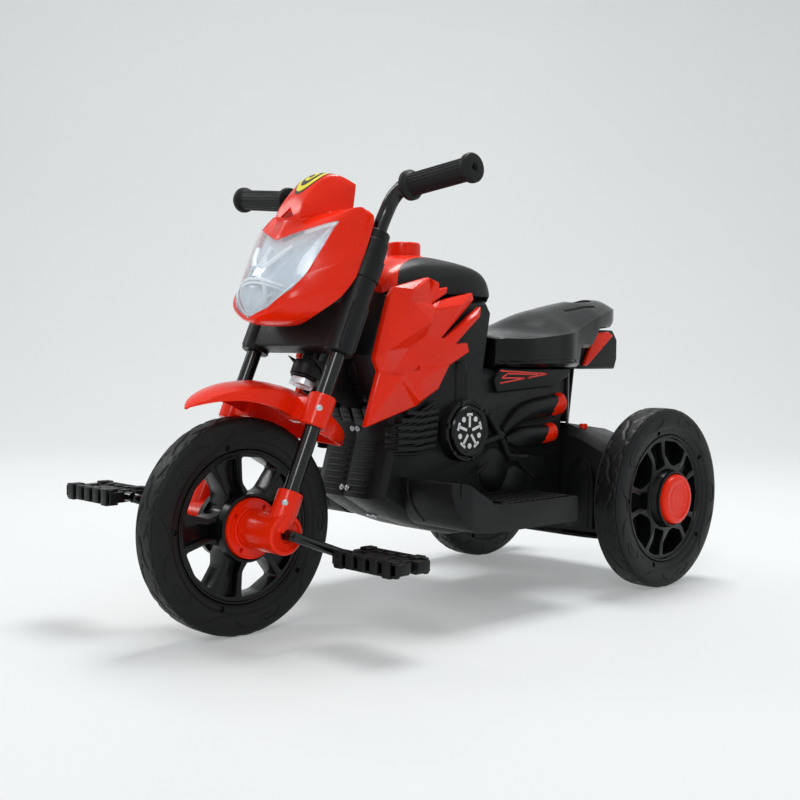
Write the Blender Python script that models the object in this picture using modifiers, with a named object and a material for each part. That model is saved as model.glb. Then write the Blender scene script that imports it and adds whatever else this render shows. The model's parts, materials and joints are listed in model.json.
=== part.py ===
"""Three-wheeled ride-on motorcycle for a small child, with pedals on the front wheel.

Metres, +Z up. The front of the toy faces -Y and its left side is +X.
The origin lies on the floor, midway between the front and the rear axle.
"""

import math

import bmesh
import bpy
from mathutils import Matrix, Vector
from mathutils.geometry import delaunay_2d_cdt

# Clearances
SEAT_GAP = 0.0003  # between two pieces of one body that touch
RUN_GAP = 0.0015  # between pieces that turn past each other
BORE_GAP = 0.0004  # radial, between a shaft and its bore

# Wheels
WHEEL_RADIUS = 0.130
WHEELBASE = 0.624
BEAD_RADIUS = 0.092
FRONT_TYRE_WIDTH = 0.040
REAR_TYRE_WIDTH = 0.044
REAR_WHEEL_GAP = 0.006
TYRE_SHOULDER = 0.006
RIM_WALL = 0.0035
SPOKE_COUNT = 5
WINDOW_OUTER_R = 0.084
WHEEL_STEPS = 30

# Hubs, axles and pedals
FRONT_HUB_R = 0.030
FRONT_HUB_HALF = 0.022
FLANGE_R = 0.036
FLANGE_WIDTH = 0.0095
REAR_HUB_R = 0.041
REAR_HUB_OUT = 0.026
HUB_CAP_R = 0.0355
HUB_CAP_HEIGHT = 0.011
AXLE_R = 0.005
CRANK_ROD_R = 0.006
CRANK_RADIUS = 0.083
CRANK_ANGLE = math.radians(-21.0)
CRANK_PLANE_X = 0.1040
PEDAL_OUT_X = 0.221
PEDAL_DEPTH = 0.052
PEDAL_HEIGHT = 0.020
PEDAL_RELIEF = 0.0035

# Fork and steering head, measured along the leg from the height of the front axle
RAKE = math.radians(23.6)
LEG_X = 0.081
LEG_LEAD = 0.004
LEG_R = 0.0095
STEM_SETBACK = 0.026
STEM_R = 0.010
FOOT_SLEEVE_R = 0.0155
FOOT_TOP = 0.051
BOSS_R = 0.0235
BOSS_OUT_X = 0.095
COLLAR_R = 0.0165
COLLAR_LOW = 0.131
COLLAR_HIGH = 0.170
HEAD_LOW = 0.229
HEAD_BOX_HIGH = 0.288
HEAD_BOX_HALF = 0.013
HEAD_HIGH = 0.385
HEAD_SLEEVE_R = 0.0175
HEAD_BAND_R = 0.0195
CLAMP_HIGH = 0.290
LUG_LOW = 0.203
LUG_HIGH = 0.318
LUG_EYE_R = 0.0185
NECK_HALF = 0.024
WALL_SETBACK = 0.052

# Handlebar, from the top of the head sleeve to the grip
BAR_GRIP_X = 0.1135
BAR_END_X = 0.2215
BAR_GRIP_Y = 0.1687
BAR_GRIP_Z = 0.5387
BAR_END_Z = 0.550
GRIP_R = 0.0140
GRIP_FLANGE_R = 0.0185

# Body, distances behind the front axle and heights above the floor
BODY_HALF = 0.066
BODY_WALL = 0.003
DECK_Z = 0.318
TANK_BASE_Z = 0.414
TANK_OVERHANG = 0.002
BODY_FLOOR_Z = 0.092
HOUSING_TOP_Z = 0.235
HOUSING_HALF = 0.146
HOUSING_WALL = 0.003

# The housing and the tail, from the rear axle; minus is in front of it
HOUSING_FRONT = -0.0800
HOUSING_BACK = 0.0780
HOUSING_DECK = -0.0320
DECK_END = -0.0200
BUTTON_BACK = -0.0540

FRONT_Y = -WHEELBASE / 2
TANK_HALF = BODY_HALF + TANK_OVERHANG
REAR_WHEEL_X = HOUSING_HALF + REAR_WHEEL_GAP + REAR_TYRE_WIDTH / 2
BODY_REAR_Y = WHEELBASE + HOUSING_FRONT - SEAT_GAP


def at(x, behind, z):
    """A point given by its distance behind the front axle."""
    return Vector((x, FRONT_Y + behind, z))


def by_rear(behind):
    """A distance behind the front axle, given from the rear axle."""
    return WHEELBASE + behind


def fork(x, behind, along):
    """A point in the fork's frame: behind the leg line and along it."""
    y = FRONT_Y - LEG_LEAD + along * math.sin(RAKE) + behind * math.cos(RAKE)
    z = WHEEL_RADIUS + along * math.cos(RAKE) - behind * math.sin(RAKE)
    return Vector((x, y, z))


def fork_matrix(x, behind, along):
    """Places a local frame whose Z runs up the leg and whose Y points back."""
    return Matrix.Translation(fork(x, behind, along)) @ Matrix.Rotation(-RAKE, 4, "X")


def new_collection(name):
    collection = bpy.data.collections.new(name)
    bpy.context.scene.collection.children.link(collection)
    return collection


def material(name, colour, roughness, metallic=0.0):
    """A Principled material from an sRGB hex colour."""
    made = bpy.data.materials.new(name)
    made.use_nodes = True
    shader = made.node_tree.nodes["Principled BSDF"]
    channels = [int(colour[i : i + 2], 16) / 255 for i in (0, 2, 4)]
    linear = [((c + 0.055) / 1.055) ** 2.4 if c > 0.04045 else c / 12.92 for c in channels]
    shader.inputs["Base Color"].default_value = (*linear, 1.0)
    shader.inputs["Roughness"].default_value = roughness
    shader.inputs["Metallic"].default_value = metallic
    made.diffuse_color = (*linear, 1.0)
    return made


for leftover in list(bpy.data.objects):
    bpy.data.objects.remove(leftover, do_unlink=True)

PARTS = new_collection("ride_on_motorcycle")
CUTTERS = new_collection("cutters")
CUTTERS.hide_render = True

RED = material("gloss_red_plastic", "E32A0C", 0.25)
BLACK = material("matt_black_plastic", "1B1C1E", 0.5)
GLOSS_BLACK = material("gloss_black_plastic", "101113", 0.22)
TYRE_BLACK = material("tyre_plastic", "232426", 0.6)
RUBBER = material("grip_rubber", "1E1F20", 0.7)
STEEL = material("black_steel_tube", "0E0F10", 0.2, 0.6)
ZINC = material("zinc_plated_steel", "B9BCC0", 0.3, 1.0)
CLEAR = material("clear_lens", "DCE8F2", 0.05)
SILVER = material("silver_reflector", "D5D8DC", 0.15, 1.0)
GREY = material("inner_grey", "5B5F66", 0.5)


def place(name, mesh, look, matrix=Matrix(), cutter=False):
    """Makes an object of a mesh and puts it in its collection."""
    made = bpy.data.objects.new(name, mesh)
    made.matrix_world = matrix
    (CUTTERS if cutter else PARTS).objects.link(made)
    if look:
        mesh.materials.append(look)
    if cutter:
        made.hide_render = True
        made.display_type = "WIRE"
    return made


def finish(bm, name, recalculate=True):
    """Turns a bmesh into a mesh, with its faces pointing out and smooth."""
    if recalculate:
        bmesh.ops.recalc_face_normals(bm, faces=bm.faces)
    mesh = bpy.data.meshes.new(name)
    bm.to_mesh(mesh)
    bm.free()
    mesh.shade_smooth()
    mesh.set_sharp_from_angle(angle=math.radians(35))
    return mesh


def box(name, size, centre, look=None, matrix=Matrix(), cutter=False):
    bm = bmesh.new()
    bmesh.ops.create_cube(bm, size=1.0)
    bmesh.ops.scale(bm, vec=size, verts=bm.verts)
    bmesh.ops.translate(bm, vec=centre, verts=bm.verts)
    return place(name, finish(bm, name), look, matrix, cutter)


# Carries local X, Y and Z to world Y, Z and X
OUTLINE_TO_SIDE = Matrix(((0, 0, 1, 0), (1, 0, 0, 0), (0, 1, 0, 0), (0, 0, 0, 1)))
AXES = {"X": Matrix.Rotation(math.pi / 2, 4, "Y"), "Y": Matrix.Rotation(-math.pi / 2, 4, "X"), "Z": Matrix()}


def rod(name, radius, low, high, look=None, axis="Z", matrix=Matrix(), sides=24, cutter=False):
    """A cylinder from low to high along one axis of its own frame."""
    bm = bmesh.new()
    bmesh.ops.create_cone(
        bm, cap_ends=True, segments=sides, radius1=radius, radius2=radius, depth=high - low
    )
    bmesh.ops.translate(bm, vec=(0, 0, (low + high) / 2), verts=bm.verts)
    bmesh.ops.transform(bm, matrix=AXES[axis], verts=bm.verts)
    return place(name, finish(bm, name), look, matrix, cutter)


def revolve(name, profile, look, axis="X", matrix=Matrix(), steps=WHEEL_STEPS, cutter=False):
    """Turns a profile of (along the axis, radius) points round the X or the Z axis."""
    area = sum(a[0] * b[1] - b[0] * a[1] for a, b in zip(profile, profile[1:] + profile[:1]))
    ordered = profile if area > 0 else profile[::-1]
    mesh = bpy.data.meshes.new(name)
    if axis == "X":
        points = [(along, 0.0, radius) for along, radius in ordered]
    else:
        points = [(radius, 0.0, along) for along, radius in ordered]
    count = len(points)
    edges = [(i, (i + 1) % count) for i in range(count)]
    on_axis = [radius == 0.0 for along, radius in ordered]
    mesh.from_pydata(points, [(i, j) for i, j in edges if not (on_axis[i] and on_axis[j])], [])
    made = place(name, mesh, look, matrix, cutter)
    screw = made.modifiers.new("turn", "SCREW")
    screw.axis = axis
    screw.steps = steps
    screw.render_steps = steps
    screw.use_merge_vertices = True
    screw.merge_threshold = 0.0001
    screw.use_smooth_shade = True
    screw.use_normal_flip = axis == "X"
    return apply(made)


def apply(made):
    """Replaces an object's mesh by its evaluated one, welded, without the modifiers."""
    bpy.context.view_layer.update()
    graph = bpy.context.evaluated_depsgraph_get()
    mesh = bpy.data.meshes.new_from_object(made.evaluated_get(graph))
    bm = bmesh.new()
    bm.from_mesh(mesh)
    bmesh.ops.remove_doubles(bm, verts=bm.verts, dist=0.00001)
    bmesh.ops.dissolve_degenerate(bm, edges=bm.edges, dist=0.000005)
    if bm.calc_volume(signed=True) < 0:
        bmesh.ops.reverse_faces(bm, faces=bm.faces)
    bm.to_mesh(mesh)
    bm.free()
    mesh.name = made.name
    made.modifiers.clear()
    made.data = mesh
    return made


def mesh_of_curve(curve):
    """The mesh that a curve makes, after which the curve is gone."""
    holder = bpy.data.objects.new(curve.name, curve)
    bpy.context.scene.collection.objects.link(holder)
    bpy.context.view_layer.update()
    graph = bpy.context.evaluated_depsgraph_get()
    mesh = bpy.data.meshes.new_from_object(holder.evaluated_get(graph))
    bpy.data.objects.remove(holder, do_unlink=True)
    bpy.data.curves.remove(curve)
    return mesh


def tube(name, points, radius, look, bend_resolution=2, cutter=False):
    """A bent round tube as a curve, made a mesh with welded caps."""
    curve = bpy.data.curves.new(name, "CURVE")
    curve.dimensions = "3D"
    curve.bevel_depth = radius
    curve.bevel_resolution = bend_resolution
    curve.use_fill_caps = True
    spline = curve.splines.new("POLY")
    spline.points.add(len(points) - 1)
    for point, where in zip(spline.points, points):
        point.co = (*where, 1.0)
    bm = bmesh.new()
    bm.from_mesh(mesh_of_curve(curve))
    bmesh.ops.remove_doubles(bm, verts=bm.verts, dist=0.00001)
    return place(name, finish(bm, name), look, cutter=cutter)


def loft(name, rings, look, half=False, cutter=False):
    """Skins rings of points. A half loft stays open at X = 0 and is mirrored."""
    bm = bmesh.new()
    loops = [[bm.verts.new(p) for p in ring] for ring in rings]
    count = len(loops[0])
    spans = count - 1 if half else count
    for near, far in zip(loops, loops[1:]):
        for i in range(spans):
            j = (i + 1) % count
            bm.faces.new((near[i], near[j], far[j], far[i]))
    bm.faces.new(loops[0][::-1])
    bm.faces.new(loops[-1])
    if half:
        mirrored = bmesh.ops.mirror(
            bm, geom=bm.verts[:] + bm.edges[:] + bm.faces[:], axis="X", merge_dist=0.00001
        )
        assert mirrored
        bmesh.ops.remove_doubles(bm, verts=bm.verts, dist=0.00001)
    return place(name, finish(bm, name), look, cutter=cutter)


def prism(name, outline, low, high, look=None, axis="X", matrix=Matrix(), cutter=False):
    """A flat outline, filled and extruded. Outlines are (Y, Z) along X, or (X, Y) along Z."""
    curve = bpy.data.curves.new(name, "CURVE")
    curve.dimensions = "2D"
    curve.fill_mode = "BOTH"
    curve.extrude = (high - low) / 2
    spline = curve.splines.new("POLY")
    spline.points.add(len(outline) - 1)
    for point, (across, up) in zip(spline.points, outline):
        point.co = (across, up, 0.0, 1.0)
    spline.use_cyclic_u = True
    bm = bmesh.new()
    bm.from_mesh(mesh_of_curve(curve))
    bmesh.ops.remove_doubles(bm, verts=bm.verts, dist=0.00001)
    bmesh.ops.dissolve_limit(bm, angle_limit=0.001, verts=bm.verts, edges=bm.edges)
    bmesh.ops.translate(bm, vec=(0, 0, (low + high) / 2), verts=bm.verts)
    if axis == "X":
        bmesh.ops.transform(bm, matrix=OUTLINE_TO_SIDE, verts=bm.verts)
    return place(name, finish(bm, name), look, matrix, cutter)


def combine(target, other, operation):
    """One exact Boolean, applied, after which the other solid is gone."""
    modifier = target.modifiers.new(operation.lower(), "BOOLEAN")
    modifier.operation = operation
    modifier.solver = "EXACT"
    modifier.object = other
    apply(target)
    bpy.data.objects.remove(other, do_unlink=True)
    return target


def cut(target, *cutters):
    for cutter in cutters:
        combine(target, cutter, "DIFFERENCE")
    return target


def join(target, *others):
    for other in others:
        combine(target, other, "UNION")
    return target


def keep(target, region):
    return combine(target, region, "INTERSECT")


def round_edges(target, width, segments=2, angle=40):
    """Bevels the sharp edges and applies it."""
    bevel = target.modifiers.new("edges", "BEVEL")
    bevel.width = width
    bevel.segments = segments
    bevel.limit_method = "ANGLE"
    bevel.angle_limit = math.radians(angle)
    bevel.use_clamp_overlap = True
    return apply(target)


def copy_of(source, name, matrix):
    made = source.copy()
    made.data = source.data
    made.name = name
    PARTS.objects.link(made)
    made.matrix_world = matrix @ source.matrix_world
    return made


def mirrored(source, name):
    """The right-hand twin of a left-hand piece, sharing its mesh."""
    return copy_of(source, name, Matrix.Scale(-1, 4, (1, 0, 0)))


def smooth(rows, steps):
    """Fills in rows of numbers along a Catmull-Rom curve, with this many steps a row."""
    out = []
    for i in range(len(rows) - 1):
        before = rows[max(i - 1, 0)]
        here, there = rows[i], rows[i + 1]
        after = rows[min(i + 2, len(rows) - 1)]
        for k in range(steps):
            t = k / steps
            out.append(
                tuple(
                    0.5
                    * (
                        2 * b
                        + (c - a) * t
                        + (2 * a - 5 * b + 4 * c - d) * t * t
                        + (3 * b - a - 3 * c + d) * t**3
                    )
                    for a, b, c, d in zip(before, here, there, after)
                )
            )
    out.append(tuple(rows[-1]))
    return out


def inset(outline, distance):
    """Moves each side of a closed (Y, Z) outline inwards by a distance."""
    count = len(outline)
    area = sum(
        outline[i][0] * outline[(i + 1) % count][1] - outline[(i + 1) % count][0] * outline[i][1]
        for i in range(count)
    )
    turn = 1 if area > 0 else -1
    moved = []
    for i in range(count):
        p, q, r = (Vector(outline[j % count]) for j in (i - 1, i, i + 1))
        a, b = (q - p).normalized(), (r - q).normalized()
        na, nb = Vector((-a.y, a.x)) * turn, Vector((-b.y, b.x)) * turn
        bisector = (na + nb).normalized()
        reach = distance / max(bisector.dot(na), 0.35)
        moved.append(tuple(q + bisector * reach))
    return moved


def layered(name, outline, layers, look=None, cutter=False):
    """Stacks insets of one side outline along X. Layers are (X, inset) pairs."""
    rings = [[(x, y, z) for y, z in inset(outline, d)] for x, d in layers]
    return loft(name, rings, look, cutter=cutter)


# Wheels


def tyre(name, width, centre):
    half = width / 2
    side = half - 0.0012
    profile = [
        (-half + TYRE_SHOULDER, WHEEL_RADIUS),
        (half - TYRE_SHOULDER, WHEEL_RADIUS),
        (half - 0.0015, WHEEL_RADIUS - 0.004),
        (half, WHEEL_RADIUS - 0.012),
        (side, BEAD_RADIUS + 0.008),
        (side - 0.005, BEAD_RADIUS),
        (-side + 0.005, BEAD_RADIUS),
        (-side, BEAD_RADIUS + 0.008),
        (-half, WHEEL_RADIUS - 0.012),
        (-half + 0.0015, WHEEL_RADIUS - 0.004),
    ]
    return revolve(name, profile, TYRE_BLACK, matrix=Matrix.Translation(centre))


def window(bm, middle, r_in, r_out, spread_in, spread_out, low, high):
    """One wheel window as a prism with round ends, added to a cutter."""
    corners = []
    for k in range(3):
        angle = middle - spread_out + spread_out * k
        corners.append((math.sin(angle) * r_out, math.cos(angle) * r_out))
    for k in range(2):
        angle = middle + spread_in - 2 * spread_in * k
        corners.append((math.sin(angle) * r_in, math.cos(angle) * r_in))
    rings = [[bm.verts.new((x, y, z)) for y, z in corners] for x in (low, high)]
    for i in range(len(corners)):
        j = (i + 1) % len(corners)
        bm.faces.new((rings[0][i], rings[0][j], rings[1][j], rings[1][i]))
    bm.faces.new(rings[0][::-1])
    bm.faces.new(rings[1])


def rim(name, width, hub_r, hub_in, hub_out, bore, centre, turned):
    """A spoked rim: barrel, dished web with hub, five windows and a pocket in each spoke."""
    barrel = width / 2 - 0.007
    outer = BEAD_RADIUS - SEAT_GAP
    inner = outer - RIM_WALL
    web_hub = 0.014
    web_rim = 0.009
    profile = [
        (-barrel, outer),
        (barrel, outer),
        (barrel, inner),
        (web_rim, inner),
        (web_hub, hub_r + 0.004),
        (hub_out, hub_r),
        (hub_out, bore),
        (-hub_in, bore),
        (-hub_in, hub_r),
        (-web_hub, hub_r + 0.004),
        (-web_rim, inner),
        (-barrel, inner),
    ]
    made = revolve(name, profile, GLOSS_BLACK, matrix=Matrix.Translation(centre))
    pitch = 2 * math.pi / SPOKE_COUNT
    bm = bmesh.new()
    for k in range(SPOKE_COUNT):
        window(bm, turned + pitch * k, hub_r + 0.010, WINDOW_OUTER_R, 0.17, 0.36, -0.05, 0.05)
    holes = place("windows", finish(bm, "windows"), None, Matrix.Translation(centre), True)
    cut(made, holes)
    for low, high in ((0.0045, 0.05), (-0.05, -0.0045)):
        bm = bmesh.new()
        for k in range(SPOKE_COUNT):
            window(
                bm,
                turned + pitch * (k + 0.5),
                hub_r + 0.010,
                WINDOW_OUTER_R,
                0.09,
                0.185,
                low,
                high,
            )
        pockets = place("pockets", finish(bm, "pockets"), None, Matrix.Translation(centre), True)
        cut(made, pockets)
    return made


FRONT_AXLE = at(0, 0, WHEEL_RADIUS)
REAR_AXLE = at(0, WHEELBASE, WHEEL_RADIUS)
REAR_WHEEL_LEFT = REAR_AXLE + Vector((REAR_WHEEL_X, 0, 0))
SPOKE_TURN = math.radians(18.0)

tyre("front_tyre", FRONT_TYRE_WIDTH, FRONT_AXLE)
rim(
    "front_rim",
    FRONT_TYRE_WIDTH,
    FRONT_HUB_R,
    FRONT_HUB_HALF,
    FRONT_HUB_HALF,
    CRANK_ROD_R + SEAT_GAP,
    FRONT_AXLE,
    SPOKE_TURN,
)


def hub_flange(name):
    """The red hub flange that clamps the rim."""
    near = FRONT_HUB_HALF + SEAT_GAP
    far = near + FLANGE_WIDTH
    bore = CRANK_ROD_R + SEAT_GAP
    profile = [
        (near, bore),
        (far, bore),
        (far, FLANGE_R - 0.0015),
        (far - 0.0015, FLANGE_R),
        (near, FLANGE_R),
    ]
    return revolve(name, profile, RED, matrix=Matrix.Translation(FRONT_AXLE), steps=20)


flange_left = hub_flange("front_hub_flange_left")
mirrored(flange_left, "front_hub_flange_right")

tyre_left = tyre("rear_tyre_left", REAR_TYRE_WIDTH, REAR_WHEEL_LEFT)
rim_left = rim(
    "rear_rim_left",
    REAR_TYRE_WIDTH,
    REAR_HUB_R,
    REAR_TYRE_WIDTH / 2,
    REAR_HUB_OUT,
    AXLE_R + BORE_GAP,
    REAR_WHEEL_LEFT,
    SPOKE_TURN,
)
cap_seat = REAR_HUB_OUT + SEAT_GAP
cap_profile = [
    (cap_seat, 0.0),
    (cap_seat, HUB_CAP_R),
    (cap_seat + HUB_CAP_HEIGHT - 0.003, HUB_CAP_R),
    (cap_seat + HUB_CAP_HEIGHT, HUB_CAP_R - 0.004),
    (cap_seat + HUB_CAP_HEIGHT, HUB_CAP_R - 0.008),
    (cap_seat + HUB_CAP_HEIGHT - 0.002, HUB_CAP_R - 0.010),
    (cap_seat + HUB_CAP_HEIGHT - 0.002, 0.0),
]
cap_left = revolve(
    "rear_hub_cap_left", cap_profile, RED, matrix=Matrix.Translation(REAR_WHEEL_LEFT), steps=20
)
mirrored(tyre_left, "rear_tyre_right")
mirrored(rim_left, "rear_rim_right")
mirrored(cap_left, "rear_hub_cap_right")
axle_half = REAR_WHEEL_X + REAR_HUB_OUT - 0.001
rod("rear_axle", AXLE_R, -axle_half, axle_half, ZINC, "X", Matrix.Translation(REAR_AXLE), 16)

# Crank axle and pedals

crank_out = Vector((0, math.cos(CRANK_ANGLE), math.sin(CRANK_ANGLE)))
pedal_left_axis = FRONT_AXLE + crank_out * CRANK_RADIUS
pedal_right_axis = FRONT_AXLE - crank_out * CRANK_RADIUS
BEND = 0.006
PEDAL_IN_X = CRANK_PLANE_X + BEND + 0.003
SPINDLE_END_X = PEDAL_OUT_X - 0.012


def crank_half(sign):
    """Route of one half of the crank, from the hub out to the spindle's end."""
    radial = crank_out * sign
    side = Vector((sign, 0, 0))
    plane = FRONT_AXLE + side * CRANK_PLANE_X
    return [
        plane - side * BEND,
        plane + radial * BEND,
        plane + radial * (CRANK_RADIUS - BEND),
        plane + radial * CRANK_RADIUS + side * BEND,
        FRONT_AXLE + side * SPINDLE_END_X + radial * CRANK_RADIUS,
    ]


tube("crank_axle", crank_half(-1)[::-1] + crank_half(1), CRANK_ROD_R, STEEL)


def pedal(name):
    """The left pedal: a body with notched ends, a tread bar on each face and a window."""
    low, high = PEDAL_IN_X, PEDAL_OUT_X
    reach = PEDAL_DEPTH / 2
    thick = PEDAL_HEIGHT / 2
    notch = 0.007
    outline = [
        (low, -reach),
        (low + 0.034, -reach - 0.003),
        (high - 0.034, -reach - 0.003),
        (high, -reach),
        (high, -reach + 0.014),
        (high - notch, -reach + 0.016),
        (high - notch, reach - 0.016),
        (high, reach - 0.014),
        (high, reach),
        (high - 0.034, reach + 0.003),
        (low + 0.034, reach + 0.003),
        (low, reach),
    ]
    place_here = Matrix.Translation(pedal_left_axis)
    made = prism(name, outline, -thick + PEDAL_RELIEF, thick - PEDAL_RELIEF, BLACK, "Z", place_here)
    spine = box(
        "spine",
        (high - notch - low, 2 * (CRANK_ROD_R + PEDAL_RELIEF), PEDAL_HEIGHT),
        ((high - notch + low) / 2, 0, 0),
        None,
        place_here,
    )
    join(made, spine)
    middle = (low + high) / 2
    for side in (-1, 1):
        for step in (-1, 0, 1):
            tread = box(
                "tread",
                (0.020, 0.008, PEDAL_HEIGHT),
                (middle + step * 0.033, side * (reach - 0.004), 0),
                None,
                place_here,
            )
            join(made, tread)
        opening = box("opening", (0.030, 0.009, 0.05), (middle, side * 0.0150, 0), None, place_here, True)
        cut(made, opening)
    bore = rod(
        "bore",
        CRANK_ROD_R + BORE_GAP,
        low - 0.01,
        SPINDLE_END_X + 0.0015,
        None,
        "X",
        place_here,
        16,
        True,
    )
    return cut(made, bore)


pedal_left = pedal("pedal_left")
half_turn = Matrix.Translation(FRONT_AXLE) @ Matrix.Rotation(math.pi, 4, "Z")
half_turn = half_turn @ Matrix.Translation(-FRONT_AXLE)
lift = Matrix.Translation(Vector((0, 0, pedal_right_axis.z - pedal_left_axis.z)))
copy_of(pedal_left, "pedal_right", lift @ half_turn)

# Fork


def fork_foot(name):
    """The red foot: an axle boss along X with the leg's sleeve rising from it."""
    boss_in = FRONT_HUB_HALF + SEAT_GAP + FLANGE_WIDTH + RUN_GAP
    made = rod(name, BOSS_R, boss_in, BOSS_OUT_X, RED, "X", Matrix.Translation(FRONT_AXLE), 24)
    round_edges(made, 0.0015, 1, 60)
    sleeve = rod("sleeve", FOOT_SLEEVE_R, 0.0, FOOT_TOP, None, "Z", fork_matrix(LEG_X, 0, 0), 20)
    join(made, sleeve)
    leg_bore = rod(
        "leg_bore", LEG_R + SEAT_GAP, 0.0135, 0.2, None, "Z", fork_matrix(LEG_X, 0, 0), 20, True
    )
    axle_bore = rod(
        "axle_bore",
        CRANK_ROD_R + BORE_GAP,
        0,
        0.2,
        None,
        "X",
        Matrix.Translation(FRONT_AXLE),
        12,
        True,
    )
    return cut(made, leg_bore, axle_bore)


foot_left = fork_foot("fork_foot_left")
mirrored(foot_left, "fork_foot_right")
LEG_TOP = HEAD_LOW + 0.075
leg_left = rod(
    "fork_tube_left",
    LEG_R,
    0.0135 + SEAT_GAP,
    LEG_TOP,
    STEEL,
    "Z",
    fork_matrix(LEG_X, 0, 0),
    20,
)
mirrored(leg_left, "fork_tube_right")


GRIP_START = at(BAR_GRIP_X, BAR_GRIP_Y, BAR_GRIP_Z)
GRIP_END = at(BAR_END_X, BAR_GRIP_Y, BAR_END_Z)
GRIP_CAP = 0.004


def handlebar(name):
    """A bent tube from the head sleeve up and out to the grip's end."""
    low = fork(LEG_X, 0, LEG_TOP + 0.001)
    top = fork(LEG_X, 0, HEAD_HIGH + 0.004)
    bend = [
        at(LEG_X + 0.0010, 0.1590, 0.5040),
        at(LEG_X + 0.0050, 0.1645, 0.5190),
        at(LEG_X + 0.0130, 0.1675, 0.5300),
        at(BAR_GRIP_X - 0.0080, BAR_GRIP_Y - 0.0005, BAR_GRIP_Z - 0.0020),
    ]
    start, end = GRIP_START, GRIP_END
    ends = [start, end - (end - start).normalized() * GRIP_CAP]
    return tube(name, [low, top] + bend + ends, LEG_R, STEEL)


bar_left = handlebar("handlebar_left")
mirrored(bar_left, "handlebar_right")


def grip(name):
    """A rubber grip with a flange at each end, its closed end over the tube's end."""
    length = (GRIP_END - GRIP_START).length
    turn = (GRIP_END - GRIP_START).to_track_quat("X", "Z").to_matrix().to_4x4()
    inner = LEG_R + SEAT_GAP
    stop = length - GRIP_CAP + SEAT_GAP
    profile = [
        (0.0, inner),
        (0.0, GRIP_FLANGE_R - 0.001),
        (0.001, GRIP_FLANGE_R),
        (0.007, GRIP_FLANGE_R),
        (0.010, GRIP_R),
        (length - 0.010, GRIP_R),
        (length - 0.008, GRIP_FLANGE_R - 0.001),
        (length - 0.002, GRIP_FLANGE_R - 0.001),
        (length, GRIP_FLANGE_R - 0.003),
        (length, 0.0),
        (stop, 0.0),
        (stop, inner),
    ]
    return revolve(name, profile, RUBBER, matrix=Matrix.Translation(GRIP_START) @ turn, steps=16)


grip_left = grip("grip_left")
mirrored(grip_left, "grip_right")

# Steering head


def sleeve_rods(side, gap, cutter):
    """A leg sleeve of the head and the band round it, grown by a gap."""
    low, high = HEAD_LOW - 0.004, HEAD_HIGH - 0.062
    return [
        rod("sleeve", HEAD_SLEEVE_R + gap, low - gap, HEAD_HIGH + gap, None, "Z", side, 20, cutter),
        rod("band", HEAD_BAND_R + gap, high - gap, high + 0.026 + gap, None, "Z", side, 20, cutter),
    ]


def head_cover():
    """The black head: a box between the two leg sleeves with the stem clamp behind it."""
    here = fork_matrix(0, 0, 0)
    wide = LEG_X + HEAD_SLEEVE_R - 0.001
    middle = (HEAD_LOW + HEAD_BOX_HIGH) / 2
    made = box(
        "head_cover",
        (2 * wide, 2 * HEAD_BOX_HALF, HEAD_BOX_HIGH - HEAD_LOW),
        (0, 0, middle),
        BLACK,
        here,
    )
    round_edges(made, 0.004, 1, 60)
    web = box(
        "web",
        (2 * LEG_X, 0.012, HEAD_HIGH - 0.02 - middle),
        (0, 0, (HEAD_HIGH - 0.02 + middle) / 2),
        None,
        here,
    )
    clamp = box(
        "clamp",
        (0.044, STEM_SETBACK + 0.014, CLAMP_HIGH - HEAD_LOW - 0.002),
        (0, (STEM_SETBACK + 0.014) / 2, (CLAMP_HIGH + HEAD_LOW + 0.002) / 2),
        None,
        here,
    )
    join(made, web, clamp)
    for sign in (-1, 1):
        side = fork_matrix(sign * LEG_X, 0, 0)
        join(made, *sleeve_rods(side, 0.0, False))
    for sign in (-1, 1):
        side = fork_matrix(sign * LEG_X, 0, 0)
        cut(made, rod("bore", LEG_R + SEAT_GAP, 0, 1, None, "Z", side, 20, True))
    stem_here = fork_matrix(0, STEM_SETBACK, 0)
    return cut(made, rod("stem_bore", STEM_R + SEAT_GAP, 0, 1, None, "Z", stem_here, 20, True))


head_cover()

STEM_HERE = fork_matrix(0, STEM_SETBACK, 0)
BUSH_WALL = 0.0030
BUSH_FLANGE = 0.0025
NUT_HEIGHT = 0.008
rod("steering_stem", STEM_R, LUG_LOW - NUT_HEIGHT - 0.004, LUG_HIGH + 0.004, ZINC, "Z", STEM_HERE, 20)


def stem_nut():
    nut = rod("stem_nut", 0.0165, LUG_LOW - BUSH_FLANGE - RUN_GAP - NUT_HEIGHT,
              LUG_LOW - BUSH_FLANGE - RUN_GAP, ZINC, "Z", STEM_HERE, 6)
    return cut(nut, rod("bore", STEM_R + SEAT_GAP, 0, 1, None, "Z", STEM_HERE, 20, True))


stem_nut()


def neck_outline():
    """Side outline of the neck in the fork's frame: a C that is open to the front."""
    front = STEM_SETBACK - LUG_EYE_R
    back = WALL_SETBACK + 0.018
    lower_top = HEAD_LOW - 0.004 - BUSH_FLANGE - RUN_GAP
    upper_low = CLAMP_HIGH + RUN_GAP + BUSH_FLANGE
    return [
        (front, lower_top),
        (front, LUG_LOW),
        (STEM_SETBACK + LUG_EYE_R, LUG_LOW),
        (back, LUG_LOW - 0.006),
        (back, LUG_HIGH),
        (front, LUG_HIGH),
        (front, upper_low),
        (WALL_SETBACK, upper_low),
        (WALL_SETBACK, lower_top),
    ]


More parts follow.
